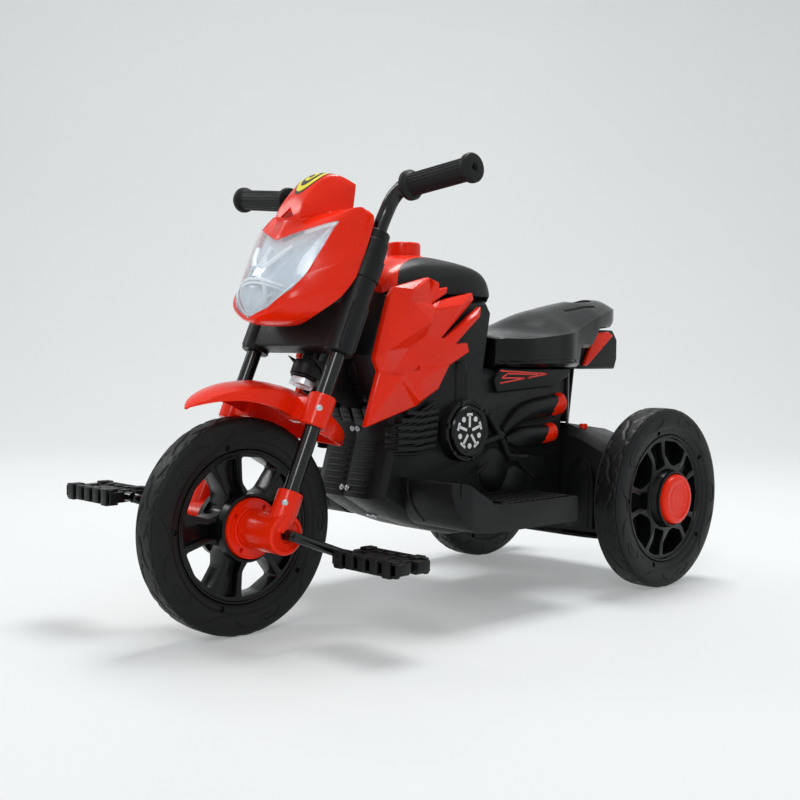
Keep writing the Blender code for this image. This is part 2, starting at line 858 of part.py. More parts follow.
def neck_bracket():
    """The body's neck: two round-nosed lugs that hold the stem above and below the head."""
    here = fork_matrix(0, 0, 0)
    made = prism("neck_bracket", neck_outline(), -NECK_HALF, NECK_HALF, BLACK, "X", here)
    plan = []
    for k in range(9):
        angle = math.pi + math.pi * k / 8
        plan.append((LUG_EYE_R * math.cos(angle), STEM_SETBACK + LUG_EYE_R * math.sin(angle)))
    plan += [(NECK_HALF, WALL_SETBACK), (NECK_HALF, 0.2), (-NECK_HALF, 0.2), (-NECK_HALF, WALL_SETBACK)]
    keep(made, prism("plan", plan, 0.1, 0.5, None, "Z", here, True))
    seat = rod("seat", STEM_R + BUSH_WALL + SEAT_GAP, 0, 1, None, "Z", STEM_HERE, 24, True)
    return cut(made, seat)


neck_bracket()


def bush(name, low, high, flange_at):
    """A flanged plastic bush that lines one lug."""
    inner = STEM_R + BORE_GAP
    outer = STEM_R + BUSH_WALL
    flange = outer + 0.004
    if flange_at == "low":
        profile = [
            (low - BUSH_FLANGE, inner),
            (low - BUSH_FLANGE, flange),
            (low - SEAT_GAP, flange),
            (low - SEAT_GAP, outer),
            (high, outer),
            (high, inner),
        ]
    else:
        profile = [
            (low, inner),
            (low, outer),
            (high + SEAT_GAP, outer),
            (high + SEAT_GAP, flange),
            (high + BUSH_FLANGE, flange),
            (high + BUSH_FLANGE, inner),
        ]
    return revolve(name, profile, GREY, "Z", STEM_HERE, 16)


bush("lower_steering_bush", LUG_LOW, HEAD_LOW - 0.006, "low")
bush("upper_steering_bush", CLAMP_HIGH + 0.006, LUG_HIGH, "high")

# Front fender


def front_fender():
    """An arched shell over the front wheel, with a collar round each leg."""
    stations = [
        (-26.0, 0.1610, 0.0050, 0.1590),
        (-20.0, 0.1645, 0.0280, 0.1560),
        (-5.0, 0.1715, 0.0420, 0.1490),
        (10.0, 0.1750, 0.0480, 0.1400),
        (25.0, 0.1775, 0.0500, 0.1370),
        (40.0, 0.1800, 0.0480, 0.1390),
        (52.0, 0.1830, 0.0380, 0.1500),
        (61.0, 0.1845, 0.0100, 0.1740),
    ]
    bm = bmesh.new()
    rows = []
    arc = 4
    for angle, ridge, half, edge in stations:
        row = []
        for k in range(-arc, arc + 1):
            t = k / arc * math.pi / 2
            x = half * math.sin(t)
            r = edge + (ridge - edge) * abs(math.cos(t)) ** 0.8
            phi = math.radians(angle)
            row.append(bm.verts.new(at(x, r * math.sin(phi), WHEEL_RADIUS + r * math.cos(phi))))
        rows.append(row)
    for near, far in zip(rows, rows[1:]):
        for i in range(2 * arc):
            bm.faces.new((near[i], near[i + 1], far[i + 1], far[i]))
    made = place("front_fender", finish(bm, "front_fender", False), RED)
    wall = made.modifiers.new("wall", "SOLIDIFY")
    wall.thickness = 0.003
    wall.offset = -1
    apply(made)
    middle = (COLLAR_LOW + COLLAR_HIGH) / 2
    for sign in (-1, 1):
        side = fork_matrix(sign * LEG_X, 0, 0)
        collar = rod("collar", COLLAR_R, COLLAR_LOW, COLLAR_HIGH, None, "Z", side, 20)
        arm = box(
            "arm",
            (0.036, 0.020, COLLAR_HIGH - COLLAR_LOW - 0.008),
            (-sign * 0.024, -0.004, middle),
            None,
            side,
        )
        join(made, arm, collar)
        cut(made, rod("bore", LEG_R + SEAT_GAP, 0, 1, None, "Z", side, 20, True))
    return made


front_fender()

# Headlight cowl, lens and reflector


# Corners of the left half: across, behind the front axle and above the floor
COWL_CORNERS = {
    # lens
    "tip": (0, 0.013, 0.377),
    "b1": (0.030, 0.019, 0.389),
    "b2": (0.053, 0.031, 0.410),
    "b3": (0.061, 0.053, 0.430),
    "b4": (0.067, 0.069, 0.461),
    "horn": (0.073, 0.085, 0.493),
    "v1": (0.037, 0.069, 0.483),
    "vn": (0, 0.055, 0.472),
    "n1": (0, 0.011, 0.398),
    "n2": (0, 0.022, 0.430),
    "n3": (0, 0.039, 0.455),
    "q1": (0.030, 0.020, 0.407),
    "q2": (0.035, 0.033, 0.434),
    "q3": (0.039, 0.051, 0.461),
    # lip and cheek
    "c0": (0, 0.011, 0.370),
    "c1": (0.031, 0.017, 0.379),
    "c2": (0.057, 0.031, 0.401),
    "m3": (0.075, 0.062, 0.402),
    "m4": (0.084, 0.080, 0.420),
    "d1": (0.080, 0.083, 0.441),
    "d3": (0.083, 0.100, 0.466),
    "d5": (0.083, 0.112, 0.497),
    "g0": (0.069, 0.097, 0.502),
    "h0": (0.033, 0.077, 0.493),
    "i0": (0, 0.060, 0.486),
    # underside
    "k0": (0, 0.046, 0.367),
    "k1": (0.032, 0.044, 0.368),
    "k2": (0.063, 0.047, 0.378),
    "e0": (0, 0.075, 0.368),
    "e1": (0.034, 0.068, 0.369),
    "e2": (0.064, 0.060, 0.378),
    "e3": (0.077, 0.072, 0.390),
    # wing and rear edge
    "d2": (0.088, 0.100, 0.448),
    "d4": (0.091, 0.114, 0.472),
    "d6": (0.090, 0.126, 0.497),
    "e4": (0.087, 0.088, 0.403),
    "e5": (0.090, 0.107, 0.427),
    "e6": (0.091, 0.125, 0.461),
    "e7": (0.090, 0.140, 0.492),
    "e8": (0.086, 0.137, 0.508),
    "g1": (0.080, 0.117, 0.513),
    "g2": (0.086, 0.128, 0.512),
    # deck and cap
    "h1": (0.048, 0.108, 0.508),
    "h2": (0.052, 0.136, 0.514),
    "f0": (0, 0.069, 0.497),
    "f1": (0.023, 0.077, 0.500),
    "f2": (0.037, 0.108, 0.508),
    "f3": (0.045, 0.139, 0.514),
    "j0": (0, 0.068, 0.526),
    "j1": (0.018, 0.072, 0.526),
    "l0": (0, 0.097, 0.550),
    "l1": (0.022, 0.099, 0.541),
    "s0": (0, 0.125, 0.5615),
    "s1": (0.027, 0.130, 0.553),
    "w0": (0, 0.150, 0.556),
    "w1": (0.038, 0.148, 0.545),
}
LENS_PANELS = [
    "tip b1 q1 n1",
    "n1 q1 q2 n2",
    "n2 q2 q3 n3",
    "n3 q3 v1 vn",
    "q1 b1 b2 b3",
    "q1 b3 b4 q2",
    "q2 b4 horn q3",
    "q3 horn v1",
    "tip c0 c1 b1",
    "b1 c1 c2 b2",
    "b2 c2 m3 b3",
    "b3 m3 m4 d1",
    "b3 d1 d3 b4",
    "b4 d3 d5 horn",
    "v1 horn g0 h0",
    "vn v1 h0 i0",
]
SHELL_PANELS = [
    "c0 k0 k1 c1",
    "c1 k1 k2 c2",
    "k0 e0 e1 k1",
    "k1 e1 e2 k2",
    "k2 e2 e3 m3",
    "c2 k2 m3",
    "m3 e3 e4 m4",
    "m4 e4 e5 d2",
    "d1 m4 d2",
    "d1 d2 d4 d3",
    "d2 e5 e6 d4",
    "d3 d4 d6 d5",
    "d4 e6 e7 d6",
    "horn d5 g1 g0",
    "d5 d6 g2 g1",
    "d6 e7 e8 g2",
    "h0 g0 g1 h1",
    "h1 g1 g2 h2",
    "g2 e8 h2",
    "i0 h0 f1 f0",
    "h0 h1 f2 f1",
    "h1 h2 f3 f2",
    "f0 f1 j1 j0",
    "f1 f2 l1 j1",
    "f2 s1 l1",
    "f2 f3 w1 s1",
    "j0 j1 l1 l0",
    "l0 l1 s1 s0",
    "s0 s1 w1 w0",
]
COWL_CREASES = [
    ("b3 d1 d2", 0.7),
    ("f0 f1 f2 f3", 0.8),
    ("j0 j1 l1 s1 w1", 0.7),
]
COWL_WALL = 0.0035
LENS_WALL = 0.0025
COWL_BOSS_X = 0.064
COWL_BOSS_DROP = 0.022


def cowl_skin(name, panels, look=None):
    """The cowl's outer face from its coarse cage, smoothed once, both halves, open at the back."""
    bm = bmesh.new()
    held = {key: bm.verts.new(at(*where)) for key, where in COWL_CORNERS.items()}
    for panel in panels:
        bm.faces.new([held[key] for key in panel.split()])
    crease = bm.edges.layers.float.new("crease_edge")
    for line, amount in COWL_CREASES:
        keys = line.split()
        for a, b in zip(keys, keys[1:]):
            edge = bm.edges.get((held[a], held[b]))
            if edge:
                edge[crease] = amount
    bmesh.ops.delete(bm, geom=[v for v in bm.verts if not v.link_faces], context="VERTS")
    bmesh.ops.mirror(
        bm, geom=bm.verts[:] + bm.edges[:] + bm.faces[:], axis="X", merge_dist=0.00001
    )
    bmesh.ops.remove_doubles(bm, verts=bm.verts, dist=0.00001)
    made = place(name, finish(bm, name), look)
    made.modifiers.new("smooth", "SUBSURF").levels = 1
    return made


def cowl_shell(name, panels, look, wall, depth=0.0):
    """The skin given a wall, in its place or moved straight back by a depth."""
    made = cowl_skin(name, panels, look)
    made.location.y += depth
    solidify = made.modifiers.new("wall", "SOLIDIFY")
    solidify.thickness = wall
    solidify.offset = -1
    solidify.use_even_offset = True
    return apply(made)


def cowl_solid():
    """The space behind the middle of the cowl's wall, for trimming what stands inside it."""
    made = apply(cowl_skin("cowl_solid", LENS_PANELS + SHELL_PANELS))
    bm = bmesh.new()
    bm.from_mesh(made.data)
    bm.normal_update()
    for vert in bm.verts:
        vert.co -= vert.normal * COWL_WALL / 2
    rim_edges = [edge for edge in bm.edges if edge.is_boundary]
    walls = bmesh.ops.extrude_edge_only(bm, edges=rim_edges)["geom"]
    for vert in walls:
        if isinstance(vert, bmesh.types.BMVert):
            vert.co.y = at(0, 0.20, 0).y
    bmesh.ops.edgenet_fill(bm, edges=[edge for edge in bm.edges if edge.is_boundary])
    bmesh.ops.recalc_face_normals(bm, faces=bm.faces)
    bm.to_mesh(made.data)
    bm.free()
    return made


def headlight_cowl():
    """The red cowl, open at the back, with the two bosses that meet the head."""
    made = cowl_shell("headlight_cowl", LENS_PANELS + SHELL_PANELS, RED, COWL_WALL)
    for sign in (-1, 1):
        near = HEAD_BOX_HALF + SEAT_GAP
        boss = box(
            "boss",
            (0.010, 0.080 - near, 0.020),
            (sign * COWL_BOSS_X, -(0.080 + near) / 2, HEAD_BOX_HIGH - COWL_BOSS_DROP),
            None,
            fork_matrix(0, 0, 0),
        )
        join(made, keep(boss, cowl_solid()))
        cut(made, *sleeve_rods(fork_matrix(sign * LEG_X, 0, 0), SEAT_GAP, True))
    return made


cowl = headlight_cowl()
LENS_EDGE = "tip b1 b2 b3 b4 horn v1 vn"


def lens_prism(name, grow, cutter=False):
    """The lens outline as seen from the front, carried back through the cowl's face."""
    edge = [COWL_CORNERS[key] for key in LENS_EDGE.split()]
    half = [(x, z) for x, y, z in edge]
    full = half + [(-x, z) for x, z in half[-2:0:-1]]
    full = inset(full, -grow)
    rings = [[at(x, y, z) for x, z in full] for y in (-0.05, 0.110)]
    return loft(name, rings, None, cutter=cutter)


cut(cowl, lens_prism("lens_hole", SEAT_GAP, cutter=True))
lens = cowl_shell("headlight_lens", LENS_PANELS, CLEAR, LENS_WALL)
keep(lens, lens_prism("lens_region", 0.0, cutter=True))
REFLECTOR_MARGIN = -0.0006
REFLECTOR_DEPTH = 0.0056
reflector = cowl_shell("headlight_reflector", LENS_PANELS, SILVER, 0.002, REFLECTOR_DEPTH)
keep(reflector, lens_prism("reflector_region", REFLECTOR_MARGIN, cutter=True))

# Body shells, split on the centre plane

BODY_OUTLINE = [
    (0.168, 0.152),
    (0.219, 0.122),
    (0.271, 0.104),
    (0.318, BODY_FLOOR_Z),
    (BODY_REAR_Y, BODY_FLOOR_Z),
    (BODY_REAR_Y, HOUSING_TOP_Z + SEAT_GAP),
    (by_rear(HOUSING_DECK), HOUSING_TOP_Z + SEAT_GAP),
    (by_rear(DECK_END), DECK_Z),
    (0.372, DECK_Z),
    (0.386, TANK_BASE_Z - 0.020),
    (0.372, TANK_BASE_Z),
    (0.180, TANK_BASE_Z),
    (0.145, 0.334),
    (0.158, 0.300),
    (0.184, 0.262),
    (0.190, 0.226),
]


def body_shell(name):
    """The left body half, a shell open at the centre plane, with its engine mouldings."""
    seam = SEAT_GAP / 2
    layers = [(seam, 0.0), (0.044, 0.0), (0.058, 0.004), (BODY_HALF, 0.011)]
    made = layered(name, [(FRONT_Y + y, z) for y, z in BODY_OUTLINE], layers, BLACK)
    outline = [(FRONT_Y + y, z) for y, z in BODY_OUTLINE]
    hollow = [
        (-0.01, BODY_WALL),
        (0.044, BODY_WALL),
        (0.056, 0.004 + BODY_WALL),
        (BODY_HALF - BODY_WALL, 0.011 + BODY_WALL),
    ]
    for moulding in engine_mouldings():
        join(made, moulding)
    cut(made, layered("hollow", outline, hollow, cutter=True))
    neck = inset(neck_outline(), -SEAT_GAP)
    half = NECK_HALF + SEAT_GAP
    return cut(made, prism("neck_slot", neck, -half, half, None, "X", fork_matrix(0, 0, 0), True))


def engine_mouldings():
    """Cylinder fins, round cover boss, exhausts and pipe on the side of the body."""
    deep = BODY_HALF - 0.002
    solids = []
    for k in range(FIN_COUNT):
        low = FIN_BASE_Z + k * FIN_PITCH
        high = low + FIN_PITCH * 0.55
        start, end = 0.190 + 0.006 * max(k - 3, 0) ** 1.5, 0.259 + 0.001 * k
        middle = (start + end) / 2
        lower = [(start, low + 0.002), (middle, low), (end, low + 0.003)]
        upper = [(end, high + 0.003), (middle, high), (start, high + 0.002)]
        outline = [(FRONT_Y + y, z) for y, z in lower + upper]
        solids.append(prism("fin", outline, deep - 0.01, FIN_OUT_X, None))
    boss = rod(
        "boss", 0.041, deep - 0.01, ENGINE_COVER_X, None, "X",
        Matrix.Translation(at(0, ENGINE_COVER_Y, ENGINE_COVER_Z)), 32,
    )
    solids.append(boss)
    solids.append(
        rod("pipe", 0.011, 0.0, 0.05, None, "Z",
            Matrix.Translation(at(BODY_HALF - 0.001, 0.322, 0.262)), 16)
    )
    for rows in (EXHAUST_UPPER, EXHAUST_LOWER):
        solids.append(exhaust(rows))
    return solids


FIN_COUNT = 6
FIN_BASE_Z = 0.212
FIN_PITCH = 0.0090
FIN_OUT_X = 0.078
ENGINE_COVER_Y = 0.315
ENGINE_COVER_Z = 0.234
ENGINE_COVER_X = 0.080

# Rows of distance behind the axle, height, half height and half width
EXHAUST_UPPER = [
    (0.398, 0.2290, 0.004, 0.004),
    (0.425, 0.2480, 0.013, 0.011),
    (0.460, 0.2580, 0.015, 0.013),
    (0.500, 0.2625, 0.015, 0.013),
]
EXHAUST_LOWER = [
    (0.404, 0.2180, 0.004, 0.004),
    (0.430, 0.2200, 0.013, 0.011),
    (0.455, 0.2210, 0.014, 0.013),
    (0.480, 0.2215, 0.013, 0.013),
]
EXHAUST_X = 0.070
EXHAUST_SIDES = 12


def exhaust_ring(y, z, high, wide):
    return [
        at(
            EXHAUST_X + wide * math.cos(2 * math.pi * k / EXHAUST_SIDES),
            y,
            z + high * math.sin(2 * math.pi * k / EXHAUST_SIDES),
        )
        for k in range(EXHAUST_SIDES)
    ]


def exhaust(rows):
    return loft("exhaust", [exhaust_ring(*row) for row in smooth(rows, 2)], None)


def exhaust_tip(name, rows):
    """The red end of an exhaust, as wide as the moulding it closes."""
    y, z, high, wide = rows[-1]
    y += SEAT_GAP
    rings = [
        exhaust_ring(y, z, high, wide),
        exhaust_ring(y + 0.014, z + 0.001, high + 0.001, wide),
        exhaust_ring(y + 0.026, z + 0.003, high - 0.002, wide - 0.002),
    ]
    return loft(name, rings, RED)


shell_left = body_shell("body_shell_left")
mirrored(shell_left, "body_shell_right")
for label, rows in (("upper", EXHAUST_UPPER), ("lower", EXHAUST_LOWER)):
    tip = exhaust_tip(f"exhaust_tip_{label}_left", rows)
    tip_half = box(
        "tip_side", (0.1, 1.0, 1.0), (BODY_HALF + SEAT_GAP - 0.05, 0, 0.2), None, Matrix(), True
    )
    cut(tip, tip_half)
    mirrored(tip, f"exhaust_tip_{label}_right")


def engine_cover(name):
    """The round disc on the engine boss, with a raised edge."""
    near = ENGINE_COVER_X + SEAT_GAP
    profile = [
        (near, 0.0),
        (near, 0.034),
        (near + 0.004, 0.034),
        (near + 0.006, 0.031),
        (near + 0.006, 0.0245),
        (near + 0.0045, 0.0235),
        (near + 0.0045, 0.0),
    ]
    here = Matrix.Translation(at(0, ENGINE_COVER_Y, ENGINE_COVER_Z))
    return revolve(name, profile, GLOSS_BLACK, matrix=here, steps=20)


disc_left = engine_cover("engine_cover_left")
mirrored(disc_left, "engine_cover_right")

# Tank cover, front trim and fuel cap

TANK_ROWS = [
    (0.182, 0.4280, 0.4240, 0.056),
    (0.200, 0.4500, 0.4330, 0.064),
    (0.250, 0.4660, 0.4420, TANK_HALF),
    (0.320, 0.4640, 0.4460, TANK_HALF),
    (0.360, 0.4540, 0.4440, 0.064),
    (0.385, 0.4390, 0.4320, 0.054),
    (0.396, 0.4230, 0.4200, 0.040),
]
TRIM_EDGE = [
    (0.170, 0.075),
    (0.192, 0.069),
    (0.215, 0.053),
    (0.250, 0.041),
    (0.290, 0.031),
    (0.320, 0.018),
    (0.334, 0.000),
]
TANK_WALL = 0.003
FUEL_CAP_Y = 0.272
FUEL_CAP_R = 0.023


def tank_loft(name, shrink, base, look=None, cutter=False):
    rings = []
    for y, top, shoulder, half in smooth(TANK_ROWS, 2):
        half = min(half, TANK_HALF) - shrink
        rings.append(
            [
                at(0, y, base),
                at(half, y, base),
                at(half, y, shoulder - 0.012),
                at(half - 0.004, y, shoulder - 0.002),
                at(half * 0.80, y, (shoulder + top) / 2 - shrink),
                at(half * 0.42, y, top - 0.002 - shrink),
                at(0, y, top - shrink),
            ]
        )
    if shrink:
        for ring in (rings[0], rings[-1]):
            inward = shrink if ring is rings[0] else -shrink
            for point in ring:
                point.y += inward
    return loft(name, rings, look, half=True, cutter=cutter)


def trim_region(grow):
    """The tongue of the front trim in plan, as an upright cutter."""
    half = [(x + grow if x else 0.0, FRONT_Y + y + (0 if x else grow)) for y, x in TRIM_EDGE]
    full = [(x, y) for x, y in half] + [(-x, y) for x, y in half[-2::-1]]
    return prism("trim_region", full, 0.30, 0.60, None, "Z", Matrix(), True)


tank = tank_loft("tank_cover", 0.0, TANK_BASE_Z + SEAT_GAP, BLACK)
cut(tank, tank_loft("tank_hollow", TANK_WALL, TANK_BASE_Z - 0.01, cutter=True))
trim = tank.copy()
trim.data = tank.data.copy()
trim.name = "tank_front_trim"
trim.data.materials[0] = RED
PARTS.objects.link(trim)
cut(tank, trim_region(SEAT_GAP))
keep(trim, trim_region(0.0))


def fuel_cap():
    """The round fuel cap, seated in the crown of the trim on its own flat."""
    here = Matrix.Translation(at(0, FUEL_CAP_Y, 0))
    floor = 0.4600
    top = 0.4840
    seat = rod("seat", FUEL_CAP_R + SEAT_GAP, floor, 0.6, None, "Z", here, 24, True)
    pad = rod("pad", FUEL_CAP_R + 0.003, floor - 0.006, floor + 0.004, None, "Z", here, 24)
    join(trim, pad)
    cut(trim, seat)
    profile = [
        (floor + SEAT_GAP, 0.0),
        (floor + SEAT_GAP, FUEL_CAP_R),
        (top - 0.002, FUEL_CAP_R),
        (top, FUEL_CAP_R - 0.002),
        (top, 0.0),
    ]
    return revolve("fuel_cap", profile, RED, "Z", here, 24)


fuel_cap()

# Side fairings

FAIRING_OUTLINE = [
    (0.174, 0.407),
    (0.183, 0.419),
    (0.243, 0.434),
    (0.263, 0.428),
    (0.263, 0.420),
    (0.279, 0.423),
    (0.277, 0.415),
    (0.248, 0.400),
    (0.264, 0.405),
    (0.326, 0.4175),
    (0.329, 0.409),
    (0.268, 0.357),
    (0.276, 0.357),
    (0.344, 0.400),
    (0.342, 0.386),
    (0.296, 0.350),
    (0.318, 0.351),
    (0.322, 0.339),
    (0.284, 0.321),
    (0.264, 0.292),
    (0.220, 0.2685),
    (0.136, 0.2455),
    (0.158, 0.314),
    (0.150, 0.330),
]
# The folds inside the outline: distance behind the axle, height and rise over the near face
FAIRING_FOLDS = {
    "brow": (0.207, 0.417, 0.019),
    "shoulder": (0.201, 0.404, 0.017),
    "step": (0.249, 0.393, 0.017),
    "sweep": (0.238, 0.377, 0.020),
    "cheek": (0.163, 0.339, 0.017),
    "upper_finger": (0.296, 0.400, 0.018),
    "upper_root": (0.239, 0.359, 0.009),
    "lower_finger": (0.328, 0.387, 0.015),
    "lower_root": (0.276, 0.348, 0.010),
    "dish_top": (0.210, 0.344, 0.007),
    "dish_back": (0.225, 0.324, 0.010),
    "dish_low": (0.182, 0.313, 0.009),
    "keel_front": (0.186, 0.307, 0.018),
    "keel_dip": (0.198, 0.311, 0.015),
    "keel_back": (0.225, 0.303, 0.016),
    "hem": (0.222, 0.277, 0.017),
}
# Creases between folds; a number is a corner of the outline
FAIRING_CREASES = [
    "0 shoulder brow 2",
    "shoulder cheek 23",
    "shoulder step 7",
    "step sweep cheek",
    "sweep upper_root",
    "upper_root upper_finger 10",
    "lower_root lower_finger 14",
    "cheek dish_top dish_back dish_low cheek",
    "22 keel_front keel_dip keel_back 18",
    "keel_back hem 20",
    "dish_low keel_front",
]
FAIRING_EDGE = 0.009


def side_fairing(name):
    """The red side fairing: a plate whose outer face is folded along its creases."""
    near = TANK_HALF + SEAT_GAP
    keys = [str(i) for i in range(len(FAIRING_OUTLINE))] + list(FAIRING_FOLDS)
    flat = [Vector(point) for point in FAIRING_OUTLINE]
    flat += [Vector((y, z)) for y, z, rise in FAIRING_FOLDS.values()]
    rises = [FAIRING_EDGE] * len(FAIRING_OUTLINE) + [rise for y, z, rise in FAIRING_FOLDS.values()]
    corners = len(FAIRING_OUTLINE)
    lines = [(i, (i + 1) % corners) for i in range(corners)]
    for crease in FAIRING_CREASES:
        line = [keys.index(key) for key in crease.split()]
        lines += zip(line, line[1:])
    places, edges, panels, *sources = delaunay_2d_cdt(flat, lines, [], 1, 0.00001)
    bm = bmesh.new()
    outer = [
        bm.verts.new(at(near + rises[source[0]], *where))
        for where, source in zip(places, sources[0])
    ]
    for panel in panels:
        bm.faces.new([outer[i] for i in panel])
    bmesh.ops.dissolve_limit(bm, angle_limit=0.001, verts=bm.verts, edges=bm.edges)
    rim_edges = [edge for edge in bm.edges if edge.is_boundary]
    walls = bmesh.ops.extrude_edge_only(bm, edges=rim_edges)["geom"]
    for vert in walls:
        if isinstance(vert, bmesh.types.BMVert):
            vert.co.x = near
    back = [edge for edge in bm.edges if edge.is_boundary]
    bmesh.ops.edgenet_fill(bm, edges=back)
    made = place(name, finish(bm, name), RED)
    return round_edges(made, 0.002, 1, 50)


fairing_left = side_fairing("side_fairing_left")
mirrored(fairing_left, "side_fairing_right")

# Seat, tail and side panels

SEAT_ROWS = [
    (0.392, 0.0600, 0.3640, 0.3560, DECK_Z),
    (0.400, 0.0680, 0.3640, 0.3560, DECK_Z),
    (0.430, 0.0820, 0.3600, 0.3560, DECK_Z),
    (0.480, 0.0880, 0.3610, 0.3580, DECK_Z),
    (by_rear(-0.094), 0.0900, 0.3760, 0.3620, DECK_Z),
    (by_rear(-0.064), 0.0880, 0.3940, 0.3690, DECK_Z),
    (by_rear(-0.056), 0.0870, 0.3980, 0.3720, 0.3460),
    (by_rear(-0.014), 0.0740, 0.4150, 0.3920, 0.3460),
    (by_rear(0.016), 0.0620, 0.4190, 0.4000, 0.3750),
    (by_rear(0.066), 0.0440, 0.4200, 0.4060, 0.3790),
    (by_rear(0.090), 0.0280, 0.4180, 0.4080, 0.3880),
]


def seat():
    """The saddle: low in front, rising to a hump with a carry slot behind the rider."""
    rings = [
        [
            at(0, y, base + SEAT_GAP),
            at(half * 0.90, y, base + SEAT_GAP),
            at(half, y, base + 0.006),
            at(half, y, side - 0.006),
            at(half * 0.94, y, side),
            at(half * 0.55, y, side + (top - side) * 0.55),
            at(half * 0.25, y, top - (top - side) * 0.10),
            at(0, y, top),
        ]
        for y, half, top, side, base in SEAT_ROWS
    ]
    made = loft("seat", rings, BLACK, half=True)
    slot = box("slot", (0.036, 0.050, 0.060), (0, 0, 0), None,
               Matrix.Translation(at(0, SLOT_Y, SLOT_FLOOR_Z + 0.030)), True)
    return cut(made, round_edges(slot, 0.010, 2, 60))


SLOT_Y = by_rear(0.024)
SLOT_FLOOR_Z = 0.402
seat()

TAIL_HALF = 0.042


def tail_block():
    """The black tail box, hung on the deck's end under the seat's tail."""
    outline = [
        (-0.054, DECK_Z + SEAT_GAP),
        (-0.018, DECK_Z + SEAT_GAP),
        (-0.012, 0.3140),
        (0.076, 0.3140),
        (0.082, 0.3300),
        (0.082, 0.3600),
        (0.070, 0.3745),
        (0.017, 0.3745),
        (-0.013, 0.3455),
        (-0.054, 0.3455),
    ]
    outline = [(FRONT_Y + by_rear(y), z) for y, z in outline]
    made = prism("tail_block", outline, -TAIL_HALF, TAIL_HALF, BLACK)
    return round_edges(made, 0.002, 1, 30)


tail_block()


def tail_strip(name):
    """The slim red wedge beside the tail box."""
    outline = [(-0.013, 0.3200), (-0.004, 0.3190), (0.062, 0.3660), (0.048, 0.3720), (0.016, 0.3700)]
    outline = [(FRONT_Y + by_rear(y), z) for y, z in outline]
    near = TAIL_HALF + SEAT_GAP
    made = prism(name, outline, near, near + 0.007, RED)
    return round_edges(made, 0.0015, 1, 30)


strip_left = tail_strip("tail_strip_left")
mirrored(strip_left, "tail_strip_right")


def side_panel(name):
    """The black panel under the seat that carries the stripe."""
    outline = [(0.392, 0.3165), (0.378, 0.3000), (0.384, 0.2830), (0.506, 0.2900), (0.540, 0.3040),
               (0.548, 0.3165)]
    outline = [(FRONT_Y + y, z) for y, z in outline]
    made = prism(name, outline, BODY_HALF + SEAT_GAP, BODY_HALF + 0.008, BLACK)
    return round_edges(made, 0.002, 1, 30)


panel_left = side_panel("side_panel_left")
mirrored(panel_left, "side_panel_right")

# Footboards

BOARD_OUT_X = 0.168
BOARD_WALL = 0.003


def footboard(name):
    """A tray-like footrest with a raised toe guard and a ribbed tread."""
    outline = [
        (0.176, 0.166),
        (0.190, 0.181),
        (0.226, 0.178),
        (0.288, 0.145),
        (0.440, 0.145),
        (0.440, 0.112),
        (0.330, 0.112),
        (0.240, 0.116),
        (0.186, 0.138),
    ]
    outline = [(FRONT_Y + y, z) for y, z in outline]
    near = BODY_HALF + SEAT_GAP
    layers = [(near, 0.0), (BOARD_OUT_X - 0.006, 0.0), (BOARD_OUT_X, 0.005)]
    made = layered(name, outline, layers, BLACK)
    hollow = [(y, z - BOARD_WALL) for y, z in outline[1:5]]
    hollow = [(outline[0][0] + BOARD_WALL, outline[0][1] - BOARD_WALL)] + hollow
    hollow[-1] = (outline[4][0] - BOARD_WALL, hollow[-1][1])
    hollow += [(hollow[-1][0], 0.05), (hollow[0][0], 0.05)]
    cut(made, prism("hollow", hollow, near + BOARD_WALL, BOARD_OUT_X - 0.005, cutter=True))
    return made


board_left = footboard("footboard_left")
mirrored(board_left, "footboard_right")

# Rear axle housing with the drive in it

HOUSING_ROWS = [
    (0.000, 0.0, 0.0),
    (0.060, 0.0, 0.0),
    (0.095, 0.002, 0.011),
    (0.125, 0.008, 0.026),
    (HOUSING_HALF, 0.014, 0.040),
]
HOUSING_BASE_Z = 0.072


def housing_ring(x, narrow, drop, wall):
    front = by_rear(HOUSING_FRONT) + narrow + wall
    back = by_rear(HOUSING_BACK) - narrow - wall
    top = HOUSING_TOP_Z - drop - wall
    base = HOUSING_BASE_Z + (-0.01 if wall else 0.0)
    return [
        at(x, front + 0.006, base),
        at(x, back - 0.006, base),
        at(x, back, base + 0.020),
        at(x, back, top - 0.040),
        at(x, back - 0.016, top - 0.012),
        at(x, back - 0.050, top),
        at(x, front + 0.012, top),
        at(x, front, top - 0.012),
        at(x, front, base + 0.012),
    ]


def rear_housing():
    """The axle housing: a shell with an open base, bored at each end for the axle."""
    rings = [housing_ring(x, narrow, drop, 0.0) for x, narrow, drop in HOUSING_ROWS]
    mirror_rings = [[Vector((-p.x, p.y, p.z)) for p in ring] for ring in rings[:0:-1]]
    made = loft("rear_axle_housing", mirror_rings + rings, BLACK)
    rows = HOUSING_ROWS[:-1] + [(HOUSING_HALF - HOUSING_WALL, 0.014, 0.040)]
    rings = [housing_ring(x, narrow, drop, HOUSING_WALL) for x, narrow, drop in rows]
    mirror_rings = [[Vector((-p.x, p.y, p.z)) for p in ring] for ring in rings[:0:-1]]
    cut(made, loft("hollow", mirror_rings + rings, None, cutter=True))
    bore = rod("bore", AXLE_R + SEAT_GAP, -1, 1, None, "X", Matrix.Translation(REAR_AXLE), 16, True)
    return cut(made, bore)


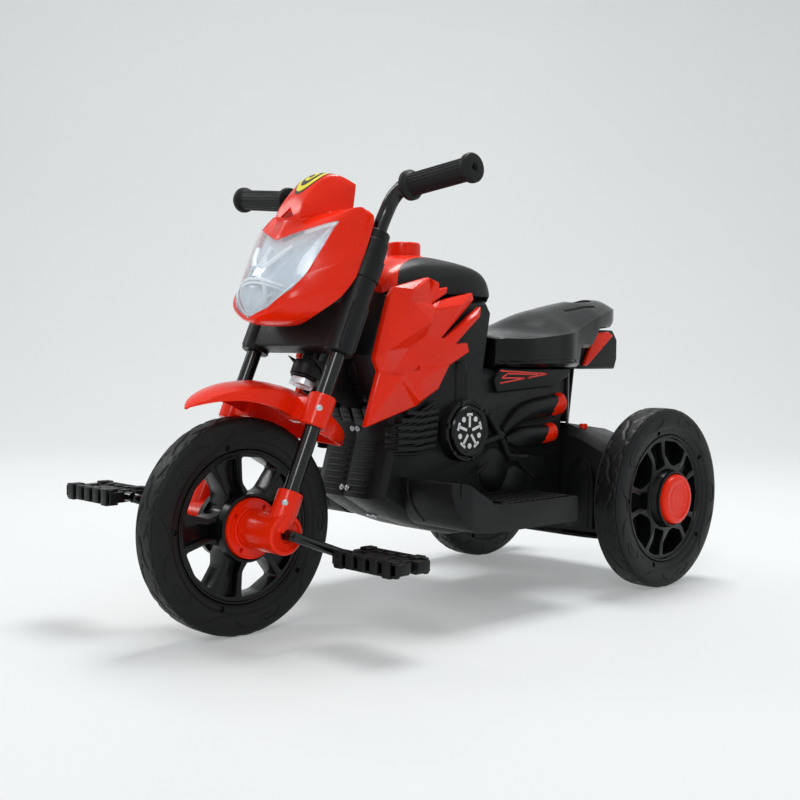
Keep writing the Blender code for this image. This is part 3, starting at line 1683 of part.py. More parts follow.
housing = rear_housing()
LID_THICK = 0.003
LID_EDGE = 0.0065
lid_front = FRONT_Y + by_rear(HOUSING_FRONT) + LID_EDGE
lid_back = FRONT_Y + by_rear(HOUSING_BACK) - LID_EDGE
front_edge = [(x, lid_front + narrow) for x, narrow, drop in HOUSING_ROWS]
back_edge = [(x, lid_back - narrow) for x, narrow, drop in HOUSING_ROWS]
lid_half = front_edge[1:] + back_edge[:0:-1]
prism(
    "housing_lid",
    lid_half + [(-x, y) for x, y in lid_half[::-1]],
    HOUSING_BASE_Z - SEAT_GAP - LID_THICK,
    HOUSING_BASE_Z - SEAT_GAP,
    BLACK,
    "Z",
)

GEARBOX_X = (0.030, 0.085)
gearbox = prism(
    "gearbox",
    [(FRONT_Y + by_rear(y), z) for y, z in [
        (-0.039, HOUSING_BASE_Z), (0.036, HOUSING_BASE_Z), (0.048, 0.100), (0.040, 0.150),
        (0.016, 0.190), (-0.024, 0.190), (-0.044, 0.150), (-0.046, 0.100)]],
    *GEARBOX_X,
    GREY,
)
cut(gearbox, rod("bore", AXLE_R + SEAT_GAP, -1, 1, None, "X", Matrix.Translation(REAR_AXLE), 16, True))
rod(
    "motor", 0.017, GEARBOX_X[0] - SEAT_GAP - 0.056, GEARBOX_X[0] - SEAT_GAP, ZINC, "X",
    Matrix.Translation(at(0, by_rear(-0.004), 0.168)), 24,
)

BATTERY = (0.068, 0.072, 0.098)
BATTERY_Y = 0.445
box(
    "battery",
    BATTERY,
    at(0, BATTERY_Y, BODY_FLOOR_Z + BODY_WALL + SEAT_GAP + BATTERY[2] / 2),
    GREY,
)

BUTTON_R = 0.006
BUTTON_X = 0.080
button_here = Matrix.Translation(at(BUTTON_X, by_rear(BUTTON_BACK), 0))
cut(housing, rod("bore", BUTTON_R + BORE_GAP, 0.2, 0.3, None, "Z", button_here, 16, True))
rod("power_button", BUTTON_R, 0.2222, 0.2342, RED, "Z", button_here, 16)

# Empties on the joint axes carry the pieces that move


def carrier(name, matrix, carried, parent=None):
    """An empty on a joint's axis with the pieces of its body under it."""
    empty = bpy.data.objects.new(name, None)
    empty.empty_display_size = 0.05
    PARTS.objects.link(empty)
    empty.matrix_world = matrix
    bpy.context.view_layer.update()
    if parent:
        hang(empty, parent)
    for child in carried:
        hang(bpy.data.objects[child], empty)
    return empty


def hang(child, parent):
    where = child.matrix_world.copy()
    child.parent = parent
    child.matrix_parent_inverse = parent.matrix_world.inverted()
    child.matrix_world = where


steering = carrier(
    "steering_axis",
    STEM_HERE,
    [
        "steering_stem",
        "stem_nut",
        "head_cover",
        "headlight_cowl",
        "headlight_lens",
        "headlight_reflector",
        "front_fender",
        "fork_foot_left",
        "fork_foot_right",
        "fork_tube_left",
        "fork_tube_right",
        "handlebar_left",
        "handlebar_right",
        "grip_left",
        "grip_right",
    ],
)
front_wheel = carrier(
    "front_wheel_axis",
    Matrix.Translation(FRONT_AXLE),
    ["front_tyre", "front_rim", "front_hub_flange_left", "front_hub_flange_right", "crank_axle"],
    steering,
)
carrier("pedal_left_axis", Matrix.Translation(pedal_left_axis), ["pedal_left"], front_wheel)
carrier("pedal_right_axis", Matrix.Translation(pedal_right_axis), ["pedal_right"], front_wheel)
carrier("power_button_axis", button_here, ["power_button"])
for side, sign in (("left", 1), ("right", -1)):
    wheel_here = Matrix.Translation(REAR_AXLE + Vector((sign * REAR_WHEEL_X, 0, 0)))
    pieces = [f"rear_tyre_{side}", f"rear_rim_{side}", f"rear_hub_cap_{side}"]
    carrier(f"rear_wheel_axis_{side}", wheel_here, pieces)
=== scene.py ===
"""The finished look of a three-wheeled ride-on motorcycle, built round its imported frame."""

import json
import math

import bmesh
import bpy
from mathutils import Matrix, Vector
from mathutils.bvhtree import BVHTree


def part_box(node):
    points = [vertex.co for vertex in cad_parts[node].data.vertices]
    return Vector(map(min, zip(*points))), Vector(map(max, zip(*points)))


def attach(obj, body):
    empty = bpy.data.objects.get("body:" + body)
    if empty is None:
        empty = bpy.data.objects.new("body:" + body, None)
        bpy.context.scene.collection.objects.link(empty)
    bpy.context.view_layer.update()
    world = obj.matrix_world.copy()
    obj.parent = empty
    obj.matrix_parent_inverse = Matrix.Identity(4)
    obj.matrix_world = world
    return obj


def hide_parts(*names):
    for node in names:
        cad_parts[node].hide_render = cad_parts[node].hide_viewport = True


bl_info = {
    "name": "Ride-on motorcycle",
    "version": (1, 0, 0),
    "blender": (4, 5, 0),
    "location": "3D View > Sidebar > Ride-on",
    "description": "Builds the visible pieces of a child's three-wheeled motorcycle",
    "category": "Object",
}

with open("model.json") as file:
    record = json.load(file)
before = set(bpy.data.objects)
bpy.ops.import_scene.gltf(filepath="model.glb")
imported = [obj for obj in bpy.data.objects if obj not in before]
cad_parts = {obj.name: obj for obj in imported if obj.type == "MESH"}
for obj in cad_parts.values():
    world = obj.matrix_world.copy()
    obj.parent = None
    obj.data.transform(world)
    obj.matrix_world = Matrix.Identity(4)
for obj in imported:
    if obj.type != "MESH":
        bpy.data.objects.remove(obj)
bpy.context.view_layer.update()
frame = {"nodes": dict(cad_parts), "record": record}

# Places taken from the frame, in metres
FRONT_AXLE = sum(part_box("front_tyre"), Vector()) / 2
REAR_AXLE = sum(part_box("rear_tyre_left"), Vector()) / 2
WHEEL_RADIUS = FRONT_AXLE.z
FRONT_Y = FRONT_AXLE.y
RAKE = math.radians(23.6)
LEG_LEAD = 0.004


def linear(code):
    """An sRGB hex colour as linear red, green and blue."""
    channels = [int(code[i : i + 2], 16) / 255 for i in (0, 2, 4)]
    return tuple(((c + 0.055) / 1.055) ** 2.4 if c > 0.04045 else c / 12.92 for c in channels)


def colour_property(name, description, code):
    return bpy.props.FloatVectorProperty(
        name=name, description=description, subtype="COLOR", size=3, min=0, max=1, default=linear(code)
    )


def length_property(name, description, default):
    return bpy.props.FloatProperty(
        name=name, description=description, unit="LENGTH", min=0.0001, default=default
    )


class RideOnColours(bpy.types.PropertyGroup):
    """Colours of the finishes"""

    red: colour_property("Red plastic", "Gloss red ABS of the covers", "F02806")
    black: colour_property("Black plastic", "Matt black body plastic", "131415")
    gloss: colour_property("Gloss black", "Black of rims and seat", "0C0D0E")
    tyre: colour_property("Tyre", "Blow-moulded tyre plastic", "101112")
    grip: colour_property("Grip", "Soft grip of the bars", "121314")
    tube: colour_property("Tube", "Painted steel of fork and bars", "08090A")
    print_white: colour_property("White print", "Print on the engine cover", "E8EAEA")
    print_yellow: colour_property("Yellow print", "Label on top of the cowl", "F2E21C")
    floor: colour_property("Floor", "Studio floor and backdrop", "E9ECEC")


class RideOnSizes(bpy.types.PropertyGroup):
    """Sizes of the details"""

    groove: length_property("Tread groove", "Depth of the grooves in the tread", 0.0012)
    swirl: length_property("Swirl line", "Radius of the raised lines on the tyre wall", 0.0011)
    screw: length_property("Screw head", "Radius of a screw head", 0.0040)
    rounding: length_property("Rounding", "Radius of the moulded edges", 0.0012)
    spokes: bpy.props.IntProperty(
        name="Spokes", description="Number of spokes in each wheel", min=3, max=9, default=5
    )


def at(x, behind, z):
    """A point given in millimetres: across, behind the front axle, and above the floor."""
    return Vector((x / 1000, FRONT_Y + behind / 1000, z / 1000))


def fork(x, behind, along):
    """A point in the fork's frame, in metres: across, behind the leg line and up along it."""
    y = FRONT_Y - LEG_LEAD + along * math.sin(RAKE) + behind * math.cos(RAKE)
    z = WHEEL_RADIUS + along * math.cos(RAKE) - behind * math.sin(RAKE)
    return Vector((x, y, z))


def fork_matrix(x, behind, along):
    return Matrix.Translation(fork(x, behind, along)) @ Matrix.Rotation(-RAKE, 4, "X")


# Finishes


def add(tree, kind, settings=(), inputs=()):
    """Adds a node with its settings, and its inputs as values or links."""
    made = tree.nodes.new(kind)
    for name, value in dict(settings).items():
        setattr(made, name, value)
    for name, value in dict(inputs).items():
        if isinstance(value, bpy.types.NodeSocket):
            tree.links.new(value, made.inputs[name])
        else:
            made.inputs[name].default_value = value
    return made


def size(millimetres):
    """The scale that gives a noise pattern cells of this size on Object coordinates in metres."""
    return 1000.0 / millimetres


def new_finish(name, shader_inputs):
    """A material with one Principled shader, its Object coordinates and its colour socket."""
    made = bpy.data.materials.new(name)
    made.use_nodes = True
    tree = made.node_tree
    shader = tree.nodes["Principled BSDF"]
    for key, value in shader_inputs.items():
        shader.inputs[key].default_value = value
    place = add(tree, "ShaderNodeTexCoord").outputs["Object"]
    return made, tree, shader, place


def vary_colour(tree, shader, place, colour, cell, spread):
    """Cloudy colour variation, as in coloured plastic that has cooled unevenly."""
    cloud = add(tree, "ShaderNodeTexNoise", {}, {"Vector": place, "Scale": size(cell), "Detail": 3.0})
    ramp = add(tree, "ShaderNodeValToRGB", {}, {"Fac": cloud.outputs["Fac"]})
    for stop, where, level in zip(ramp.color_ramp.elements, (0.3, 0.7), (1 - spread, 1 + spread)):
        stop.position = where
        stop.color = (*(min(c * level, 1.0) for c in colour), 1.0)
    tree.links.new(ramp.outputs["Color"], shader.inputs["Base Color"])
    return ramp


def vary_roughness(tree, shader, place, cell, low, high, stretch=(1, 1, 1)):
    """Handling marks: the gloss changes a little from place to place."""
    turned = add(tree, "ShaderNodeMapping", {}, {"Vector": place, "Scale": stretch})
    marks = add(
        tree, "ShaderNodeTexNoise", {}, {"Vector": turned.outputs[0], "Scale": size(cell), "Detail": 6.0}
    )
    span = add(
        tree,
        "ShaderNodeMapRange",
        {},
        {"Value": marks.outputs["Fac"], "From Min": 0.3, "From Max": 0.7, "To Min": low, "To Max": high},
    )
    tree.links.new(span.outputs[0], shader.inputs["Roughness"])


def raise_grain(tree, shader, place, cell, height, strength, detail=2.0):
    """A fine moulded grain as bump, from a cell size and a height in millimetres."""
    grain = add(
        tree, "ShaderNodeTexNoise", {}, {"Vector": place, "Scale": size(cell), "Detail": detail}
    )
    bump = add(
        tree,
        "ShaderNodeBump",
        {},
        {"Height": grain.outputs["Fac"], "Distance": height / 1000, "Strength": strength},
    )
    tree.links.new(bump.outputs["Normal"], shader.inputs["Normal"])
    return bump


def red_abs(colours):
    """Injection-moulded gloss ABS: clear deep red, soft highlights, a faint orange peel."""
    made, tree, shader, place = new_finish(
        "gloss_red_abs",
            {"IOR": 1.50, "Specular IOR Level": 0.22, "Coat Weight": 0.06, "Coat Roughness": 0.05}
    )
    vary_colour(tree, shader, place, colours.red, 70, 0.05)
    vary_roughness(tree, shader, place, 9, 0.20, 0.30)
    raise_grain(tree, shader, place, 6, 0.05, 0.35)
    return made


def black_polypropylene(colours):
    """Spark-textured polypropylene: nearly black, wide dull highlights, fine even grain."""
    made, tree, shader, place = new_finish(
        "textured_black_polypropylene", {"IOR": 1.49, "Specular IOR Level": 0.22}
    )
    vary_colour(tree, shader, place, colours.black, 55, 0.18)
    vary_roughness(tree, shader, place, 7, 0.34, 0.48)
    # The real grain is about 0.3 mm, drawn at 1.5 mm so that it shows
    raise_grain(tree, shader, place, 1.5, 0.06, 0.45)
    return made


def gloss_polypropylene(colours):
    """Smooth-moulded black plastic of the seat and rims: mirror-like where a lamp is above it."""
    made, tree, shader, place = new_finish(
        "smooth_black_polypropylene", {"IOR": 1.49, "Specular IOR Level": 0.22, "Coat Weight": 0.02}
    )
    vary_colour(tree, shader, place, colours.gloss, 60, 0.15)
    vary_roughness(tree, shader, place, 12, 0.17, 0.27)
    raise_grain(tree, shader, place, 8, 0.06, 0.4)
    return made


def tyre_plastic(colours):
    """Blow-moulded tyre: soft satin black with faint cloudy variation."""
    made, tree, shader, place = new_finish(
        "blow_moulded_tyre", {"IOR": 1.50, "Specular IOR Level": 0.24}
    )
    vary_colour(tree, shader, place, colours.tyre, 30, 0.2)
    vary_roughness(tree, shader, place, 5, 0.40, 0.55)
    # Grain of blown plastic, about 0.5 mm, drawn at 2 mm
    raise_grain(tree, shader, place, 2.0, 0.12, 0.5, 4.0)
    return made


def soft_grip(colours):
    """Soft vinyl of the grips: dull, slightly dusty black."""
    made, tree, shader, place = new_finish(
        "soft_vinyl_grip", {"IOR": 1.52, "Specular IOR Level": 0.25}
    )
    vary_colour(tree, shader, place, colours.grip, 12, 0.2)
    vary_roughness(tree, shader, place, 4, 0.50, 0.65)
    raise_grain(tree, shader, place, 1.2, 0.08, 0.5)
    return made


def painted_tube(colours):
    """Powder-painted steel tube: wet black gloss with a long narrow highlight."""
    made, tree, shader, place = new_finish(
        "painted_steel_tube",
            {"IOR": 1.50, "Specular IOR Level": 0.30, "Coat Weight": 0.25, "Coat Roughness": 0.04}
    )
    vary_colour(tree, shader, place, colours.tube, 40, 0.2)
    vary_roughness(tree, shader, place, 10, 0.16, 0.24)
    raise_grain(tree, shader, place, 5, 0.04, 0.4)
    return made


def plated_zinc(colours):
    """Zinc-plated steel: bright bluish metal, finely brushed."""
    made, tree, shader, place = new_finish("zinc_plated_steel", {"Metallic": 1.0})
    vary_colour(tree, shader, place, linear("C4C8CC"), 4, 0.08)
    vary_roughness(tree, shader, place, 1.5, 0.22, 0.38, (1, 1, 8))
    raise_grain(tree, shader, place, 1.0, 0.02, 0.4)
    return made


def clear_polycarbonate(colours):
    """Clear polycarbonate of the lens: faint ice-blue glass with moulded upright flutes."""
    made, tree, shader, place = new_finish(
        "clear_polycarbonate",
        {"IOR": 1.45, "Transmission Weight": 0.60, "Roughness": 0.06, "Alpha": 0.42},
    )
    cloud = add(tree, "ShaderNodeTexNoise", {}, {"Vector": place, "Scale": size(25), "Detail": 2.0})
    tint = add(tree, "ShaderNodeValToRGB", {}, {"Fac": cloud.outputs["Fac"]})
    tint.color_ramp.elements[0].color = (*linear("E2F1FC"), 1)
    tint.color_ramp.elements[1].color = (*linear("F6FBFF"), 1)
    tree.links.new(tint.outputs["Color"], shader.inputs["Base Color"])
    flutes = add(
        tree,
        "ShaderNodeTexWave",
        {"wave_type": "BANDS", "bands_direction": "X", "wave_profile": "SIN"},
        {"Vector": place, "Scale": size(5) / 20, "Distortion": 0.4},
    )
    bump = add(
        tree,
        "ShaderNodeBump",
        {},
        {"Height": flutes.outputs["Fac"], "Distance": 0.0004, "Strength": 0.5},
    )
    tree.links.new(bump.outputs["Normal"], shader.inputs["Normal"])
    return made


def metallised_plastic_painted_reflection(colours):
    """Vacuum-metallised plastic behind the lens, barely metallic: its near-white base colour is painted
    reflection of the lamps, with a ripple.
    """
    made, tree, shader, place = new_finish("metallised_reflector", {"Metallic": 0.10})
    # Painted reflection: the pale base colour, nearly without metal, stands in for the mirror's bright
    # reflection of the lamps
    vary_colour(tree, shader, place, linear("EEF5FB"), 14, 0.03)
    vary_roughness(tree, shader, place, 6, 0.16, 0.30)
    raise_grain(tree, shader, place, 7, 0.4, 0.6)
    return made


def inner_plastic(colours):
    """Grey moulded plastic of the drive and bushes, seldom seen."""
    made, tree, shader, place = new_finish("grey_nylon", {"IOR": 1.53})
    vary_colour(tree, shader, place, linear("5B5F66"), 20, 0.1)
    vary_roughness(tree, shader, place, 5, 0.42, 0.58)
    raise_grain(tree, shader, place, 1.5, 0.05, 0.4)
    return made


def printed_film(colours, name, colour):
    """Printed vinyl label: flat colour under a thin satin film."""
    made, tree, shader, place = new_finish(name, {"IOR": 1.46, "Coat Weight": 0.3})
    vary_colour(tree, shader, place, colour, 10, 0.04)
    vary_roughness(tree, shader, place, 3, 0.28, 0.38)
    raise_grain(tree, shader, place, 2, 0.02, 0.3)
    return made


FINISHES = {}


class RIDEON_OT_finishes(bpy.types.Operator):
    """Makes every finish and gives one to each piece of the frame"""

    bl_idname = "rideon.finishes"
    bl_label = "Finishes"

    def execute(self, context):
        colours = context.scene.ride_on_colours
        FINISHES.update(
            red_plastic=red_abs(colours),
            black_plastic=black_polypropylene(colours),
            gloss_black_plastic=gloss_polypropylene(colours),
            tyre_plastic=tyre_plastic(colours),
            grip_rubber=soft_grip(colours),
            black_steel=painted_tube(colours),
            zinc_steel=plated_zinc(colours),
            clear_lens=clear_polycarbonate(colours),
            silver_reflector=metallised_plastic_painted_reflection(colours),
            grey_plastic=inner_plastic(colours),
            white_print=printed_film(colours, "white_printed_film", colours.print_white),
            yellow_print=printed_film(colours, "yellow_printed_film", colours.print_yellow),
            red_print=printed_film(colours, "red_printed_film", colours.red),
            black_print=printed_film(colours, "black_printed_film", colours.gloss),
        )
        for entry in frame["record"]["subparts"]:
            show(frame["nodes"][entry["node"]], entry["material_slot"])
        return {"FINISHED"}


def show(piece, look):
    """Gives a piece one finish in all its material slots."""
    if not piece.data.materials:
        piece.data.materials.append(FINISHES[look])
    for slot in piece.material_slots:
        slot.material = FINISHES[look]


# Stage


class RIDEON_OT_stage(bpy.types.Operator):
    """Makes the studio floor, the soft lamps and the camera"""

    bl_idname = "rideon.stage"
    bl_label = "Stage"

    def execute(self, context):
        colours = context.scene.ride_on_colours
        scene = context.scene
        scene.view_settings.view_transform = "Standard"
        floor_finish, tree, shader, place = new_finish("studio_floor", {"IOR": 1.4})
        vary_colour(tree, shader, place, colours.floor, 900, 0.012)
        vary_roughness(tree, shader, place, 400, 0.55, 0.65)
        raise_grain(tree, shader, place, 3, 0.01, 0.1)
        bm = bmesh.new()
        profile = [(-4.0, 0.0), (2.2, 0.0)]
        profile += [
            (2.2 + 1.5 * math.sin(a), 1.5 - 1.5 * math.cos(a))
            for a in (math.pi / 2 * k / 12 for k in range(1, 13))
        ]
        profile.append((3.7, 5.0))
        turn = Matrix.Rotation(math.radians(45.8), 4, "Z")
        rows = [[bm.verts.new(turn @ Vector((x, y, z))) for x in (-7, 7)] for y, z in profile]
        for near, far in zip(rows, rows[1:]):
            bm.faces.new((near[0], near[1], far[1], far[0]))
        floor = piece_from(bm, "studio_floor")
        floor.data.materials.append(floor_finish)
        lift_backdrop(tree, colours.floor)
        world = scene.world or bpy.data.worlds.new("studio")
        scene.world = world
        world.use_nodes = True
        tree = world.node_tree
        tree.nodes.clear()
        soft = add(tree, "ShaderNodeBackground", {}, {"Color": (0.96, 0.98, 1, 1), "Strength": 0.42})
        pale = add(tree, "ShaderNodeBackground", {}, {"Color": (*colours.floor, 1), "Strength": 0.86})
        mixed = add(
            tree,
            "ShaderNodeMixShader",
            {},
            {0: seen_straight(tree), 1: soft.outputs[0], 2: pale.outputs[0]},
        )
        add(tree, "ShaderNodeOutputWorld", {}, {"Surface": mixed.outputs[0]})
        for name, where, target, wide, energy in (
            ("overhead_softbox", (-0.3, 0.9, 3.2), (0, 0, 0.2), 1.3, 80),
            ("front_softbox", (2.2, -3.4, 2.8), (0, -0.1, 0.25), 1.1, 42),
            ("side_softbox", (-3.0, -1.4, 2.4), (0, -0.1, 0.3), 1.0, 22),
        ):
            lamp = bpy.data.lights.new(name, "AREA")
            lamp.size = wide
            lamp.energy = energy
            holder = bpy.data.objects.new(name, lamp)
            holder.location = where
            holder.rotation_euler = (Vector(target) - Vector(where)).to_track_quat("-Z", "Y").to_euler()
            scene.collection.objects.link(holder)
        set_camera(scene)
        return {"FINISHED"}


def seen_straight(tree):
    """1 for camera, mirror and glass rays, 0 for the light that falls on the object."""
    rays = add(tree, "ShaderNodeLightPath")
    both = add(
        tree,
        "ShaderNodeMath",
        {"operation": "MAXIMUM"},
        {0: rays.outputs["Is Camera Ray"], 1: rays.outputs["Is Transmission Ray"]},
    )
    every = add(
        tree, "ShaderNodeMath", {"operation": "MAXIMUM"},
            {0: both.outputs[0], 1: rays.outputs["Is Glossy Ray"]}
    )
    return every.outputs[0]


def lift_backdrop(tree, colour, share=0.32):
    """Shows part of the floor's colour unlit, so that it is even, and keeps the shadow."""
    lit = tree.nodes["Principled BSDF"]
    flat = add(tree, "ShaderNodeEmission", {}, {"Color": (*colour, 1), "Strength": 1.0})
    part = add(tree, "ShaderNodeMath", {"operation": "MULTIPLY"}, {0: seen_straight(tree), 1: share})
    mixed = add(
        tree,
        "ShaderNodeMixShader",
        {},
        {0: part.outputs[0], 1: lit.outputs[0], 2: flat.outputs[0]},
    )
    tree.links.new(mixed.outputs[0], tree.nodes["Material Output"].inputs["Surface"])


# The camera that was fitted to the photograph
CAMERA_PLACE = Vector((1.1142, -1.1274, 0.3419))
CAMERA_YAW = 0.7992
CAMERA_DOWN = 0.0441
CAMERA_ROLL = 0.0098
CAMERA_LENS = 51.98


def set_camera(scene):
    ahead = Vector(
        (
            -math.sin(CAMERA_YAW) * math.cos(CAMERA_DOWN),
            math.cos(CAMERA_YAW) * math.cos(CAMERA_DOWN),
            -math.sin(CAMERA_DOWN),
        )
    )
    level = ahead.cross(Vector((0, 0, 1))).normalized()
    above = level.cross(ahead)
    right = level * math.cos(CAMERA_ROLL) + above * math.sin(CAMERA_ROLL)
    up = above * math.cos(CAMERA_ROLL) - level * math.sin(CAMERA_ROLL)
    camera = bpy.data.cameras.new("photo_camera")
    camera.lens = CAMERA_LENS
    camera.sensor_width = 36
    holder = bpy.data.objects.new("photo_camera", camera)
    turned = Matrix((right, up, -ahead)).transposed().to_4x4()
    turned.translation = CAMERA_PLACE
    holder.matrix_world = turned
    scene.collection.objects.link(holder)
    scene.camera = holder


# Shapes


def piece_from(bm, name, angle=35, outwards=True):
    """An object at the origin from a bmesh, smooth up to an angle."""
    if outwards:
        bmesh.ops.recalc_face_normals(bm, faces=bm.faces)
    mesh = bpy.data.meshes.new(name)
    bm.to_mesh(mesh)
    bm.free()
    mesh.shade_smooth()
    mesh.set_sharp_from_angle(angle=math.radians(angle))
    made = bpy.data.objects.new(name, mesh)
    bpy.context.scene.collection.objects.link(made)
    return made


def settle(made, angle=35):
    """Makes an object's modifiers part of its plain mesh."""
    bpy.context.view_layer.update()
    graph = bpy.context.evaluated_depsgraph_get()
    mesh = bpy.data.meshes.new_from_object(made.evaluated_get(graph))
    made.modifiers.clear()
    made.data = mesh
    mesh.name = made.name
    mesh.shade_smooth()
    mesh.set_sharp_from_angle(angle=math.radians(angle))
    return made


def smooth(rows, steps):
    """Fills in rows of numbers along a Catmull-Rom curve, with this many steps a row."""
    out = []
    for i in range(len(rows) - 1):
        near = (rows[max(i - 1, 0)], rows[i], rows[i + 1], rows[min(i + 2, len(rows) - 1)])
        for k in range(steps):
            t = k / steps
            out.append(
                tuple(
                    0.5
                    * (2 * b + (c - a) * t + (2 * a - 5 * b + 4 * c - d) * t**2
                    + (3 * b - a - 3 * c + d) * t**3)
                    for a, b, c, d in zip(*near)
                )
            )
    out.append(tuple(rows[-1]))
    return out


def turned(profile, centre=Vector(), steps=96, matrix=None):
    """A bmesh turned round an axle along X, from (along, radius) points in millimetres."""
    matrix = matrix or Matrix.Translation(centre)
    bm = bmesh.new()
    rings = []
    for along, radius in profile:
        count = steps if radius else 1
        rings.append(
            [
                bm.verts.new(
                    matrix
                    @ Vector(
                        (
                            along / 1000,
                            radius / 1000 * math.sin(2 * math.pi * k / steps),
                            radius / 1000 * math.cos(2 * math.pi * k / steps),
                        )
                    )
                )
                for k in range(count)
            ]
        )
    closed = profile[0][1] != 0 or profile[-1][1] != 0
    for near, far in zip(rings, rings[1:] + (rings[:1] if closed else [])):
        for i in range(steps):
            corners = [near[i % len(near)], near[(i + 1) % steps % len(near)]]
            corners += [far[(i + 1) % steps % len(far)], far[i % len(far)]]
            corners = list(dict.fromkeys(corners))
            if len(corners) > 2:
                bm.faces.new(corners)
    return bm


UPRIGHT = Matrix.Rotation(-math.pi / 2, 4, "Y")


def tube(bm, points, radius, sides=12, close=True):
    """Adds a round tube along points, with frames carried along so that it doesn't twist."""
    points = [Vector(p) for p in points]
    count = len(points)
    ways = [(points[min(i + 1, count - 1)] - points[max(i - 1, 0)]).normalized() for i in range(count)]
    across = ways[0].orthogonal().normalized()
    rings = []
    for i, (point, way) in enumerate(zip(points, ways)):
        across = (across - way * across.dot(way)).normalized()
        other = way.cross(across)
        wide = radius(i / (count - 1)) if callable(radius) else radius
        rings.append(
            [
                bm.verts.new(
                    point
                    + across * wide * math.cos(2 * math.pi * k / sides)
                    + other * wide * math.sin(2 * math.pi * k / sides)
                )
                for k in range(sides)
            ]
        )
    for near, far in zip(rings, rings[1:]):
        for k in range(sides):
            j = (k + 1) % sides
            bm.faces.new((near[k], near[j], far[j], far[k]))
    if close:
        bm.faces.new(rings[0][::-1])
        bm.faces.new(rings[-1])
    return rings


def loft(bm, rings, closed=True, caps=True):
    """Skins rings of points, and caps the two ends."""
    loops = [[bm.verts.new(p) for p in ring] for ring in rings]
    count = len(loops[0])
    for near, far in zip(loops, loops[1:]):
        for i in range(count if closed else count - 1):
            j = (i + 1) % count
            bm.faces.new((near[i], near[j], far[j], far[i]))
    if caps:
        bm.faces.new(loops[0][::-1])
        bm.faces.new(loops[-1])
    return loops


def block(bm, low, high, matrix=Matrix()):
    """Adds a box between two corners in millimetres, turned by a matrix in metres."""
    made = bmesh.ops.create_cube(bm, size=1.0)["verts"]
    for v in made:
        corner = [lo + (co + 0.5) * (hi - lo) for co, lo, hi in zip(v.co, low, high)]
        v.co = matrix @ Vector([c / 1000 for c in corner])
    return made


def prism(bm, outline, low, high, matrix=Matrix()):
    """Adds a flat (Y, Z) outline given in metres, filled, from low to high along X."""
    rings = [[matrix @ Vector((x, y, z)) for y, z in outline] for x in (low, high)]
    return loft(bm, rings)


def mirror_x(bm, merge=0.00002):
    """Adds the other half of a bmesh across the centre plane."""
    bmesh.ops.mirror(bm, geom=bm.verts[:] + bm.edges[:] + bm.faces[:], axis="X", merge_dist=merge)
    bmesh.ops.remove_doubles(bm, verts=bm.verts, dist=merge)


def twin(piece, name):
    """The right-hand twin of a left-hand piece."""
    mesh = piece.data.copy()
    mesh.transform(Matrix.Scale(-1, 4, (1, 0, 0)))
    mesh.flip_normals()
    mesh.name = name
    made = bpy.data.objects.new(name, mesh)
    bpy.context.scene.collection.objects.link(made)
    return made


def bevelled(piece, width, segments=2, angle=30):
    """Rounds the hard edges, in millimetres, as a mould does."""
    bevel = piece.modifiers.new("edges", "BEVEL")
    bevel.width = width / 1000
    bevel.segments = segments
    bevel.limit_method = "ANGLE"
    bevel.angle_limit = math.radians(angle)
    bevel.use_clamp_overlap = True
    bevel.harden_normals = False
    return settle(piece)


def subdivided(piece, levels, angle=40):
    """Turns a cage into its smooth surface."""
    smoothing = piece.modifiers.new("smooth", "SUBSURF")
    smoothing.levels = levels
    smoothing.render_levels = levels
    return settle(piece, angle)


def walled(piece, thickness, angle=40):
    """Gives an open skin its wall, inwards, in millimetres."""
    wall = piece.modifiers.new("wall", "SOLIDIFY")
    wall.thickness = thickness / 1000
    wall.offset = -1
    wall.use_even_offset = True
    return settle(piece, angle)


def carved(piece, cutter, operation="DIFFERENCE", angle=35):
    """One exact Boolean with another piece, after which that one is gone."""
    boolean = piece.modifiers.new("carve", "BOOLEAN")
    boolean.operation = operation
    boolean.solver = "EXACT"
    boolean.object = cutter
    settle(piece, angle)
    bm = bmesh.new()
    bm.from_mesh(piece.data)
    bmesh.ops.remove_doubles(bm, verts=bm.verts, dist=0.000005)
    bmesh.ops.dissolve_degenerate(bm, edges=bm.edges, dist=0.000003)
    bm.to_mesh(piece.data)
    bm.free()
    bpy.data.objects.remove(cutter, do_unlink=True)
    return piece


def from_node(node, name, facets=1.0):
    """A welded copy of a CAD node with its flat triangles joined to faces."""
    bm = bmesh.new()
    bm.from_mesh(frame["nodes"][node].data)
    bmesh.ops.remove_doubles(bm, verts=bm.verts, dist=0.00002)
    bmesh.ops.dissolve_degenerate(bm, edges=bm.edges, dist=0.00001)
    bmesh.ops.dissolve_limit(
        bm, angle_limit=math.radians(facets), verts=bm.verts, edges=bm.edges, delimit={"NORMAL"}
    )
    return piece_from(bm, name, 30, False)


def caged(name, points, faces, levels, creases=(), mirror=True, angle=40):
    """A subdivided skin from named points in millimetres and faces of their names."""
    bm = bmesh.new()
    held = {key: bm.verts.new(at(*where)) for key, where in points.items()}
    for face in faces:
        bm.faces.new([held[key] for key in face.split()])
    layer = bm.edges.layers.float.new("crease_edge")
    for line, amount in creases:
        keys = line.split()
        for a, b in zip(keys, keys[1:]):
            edge = bm.edges.get((held[a], held[b]))
            if edge:
                edge[layer] = amount
    loose = [v for v in bm.verts if not v.link_faces]
    bmesh.ops.delete(bm, geom=loose, context="VERTS")
    if mirror:
        mirror_x(bm)
    made = piece_from(bm, name, angle)
    return subdivided(made, levels, angle) if levels else made


# Node trees that repeat a shape


def new_tree(name, inputs):
    """A geometry node tree with these inputs; gives the tree and its inputs' sockets."""
    tree = bpy.data.node_groups.new(name, "GeometryNodeTree")
    tree.interface.new_socket("Geometry", in_out="INPUT", socket_type="NodeSocketGeometry")
    for title, kind in inputs:
        tree.interface.new_socket(title, in_out="INPUT", socket_type="NodeSocket" + kind)
    tree.interface.new_socket("Geometry", in_out="OUTPUT", socket_type="NodeSocketGeometry")
    return tree, add(tree, "NodeGroupInput").outputs


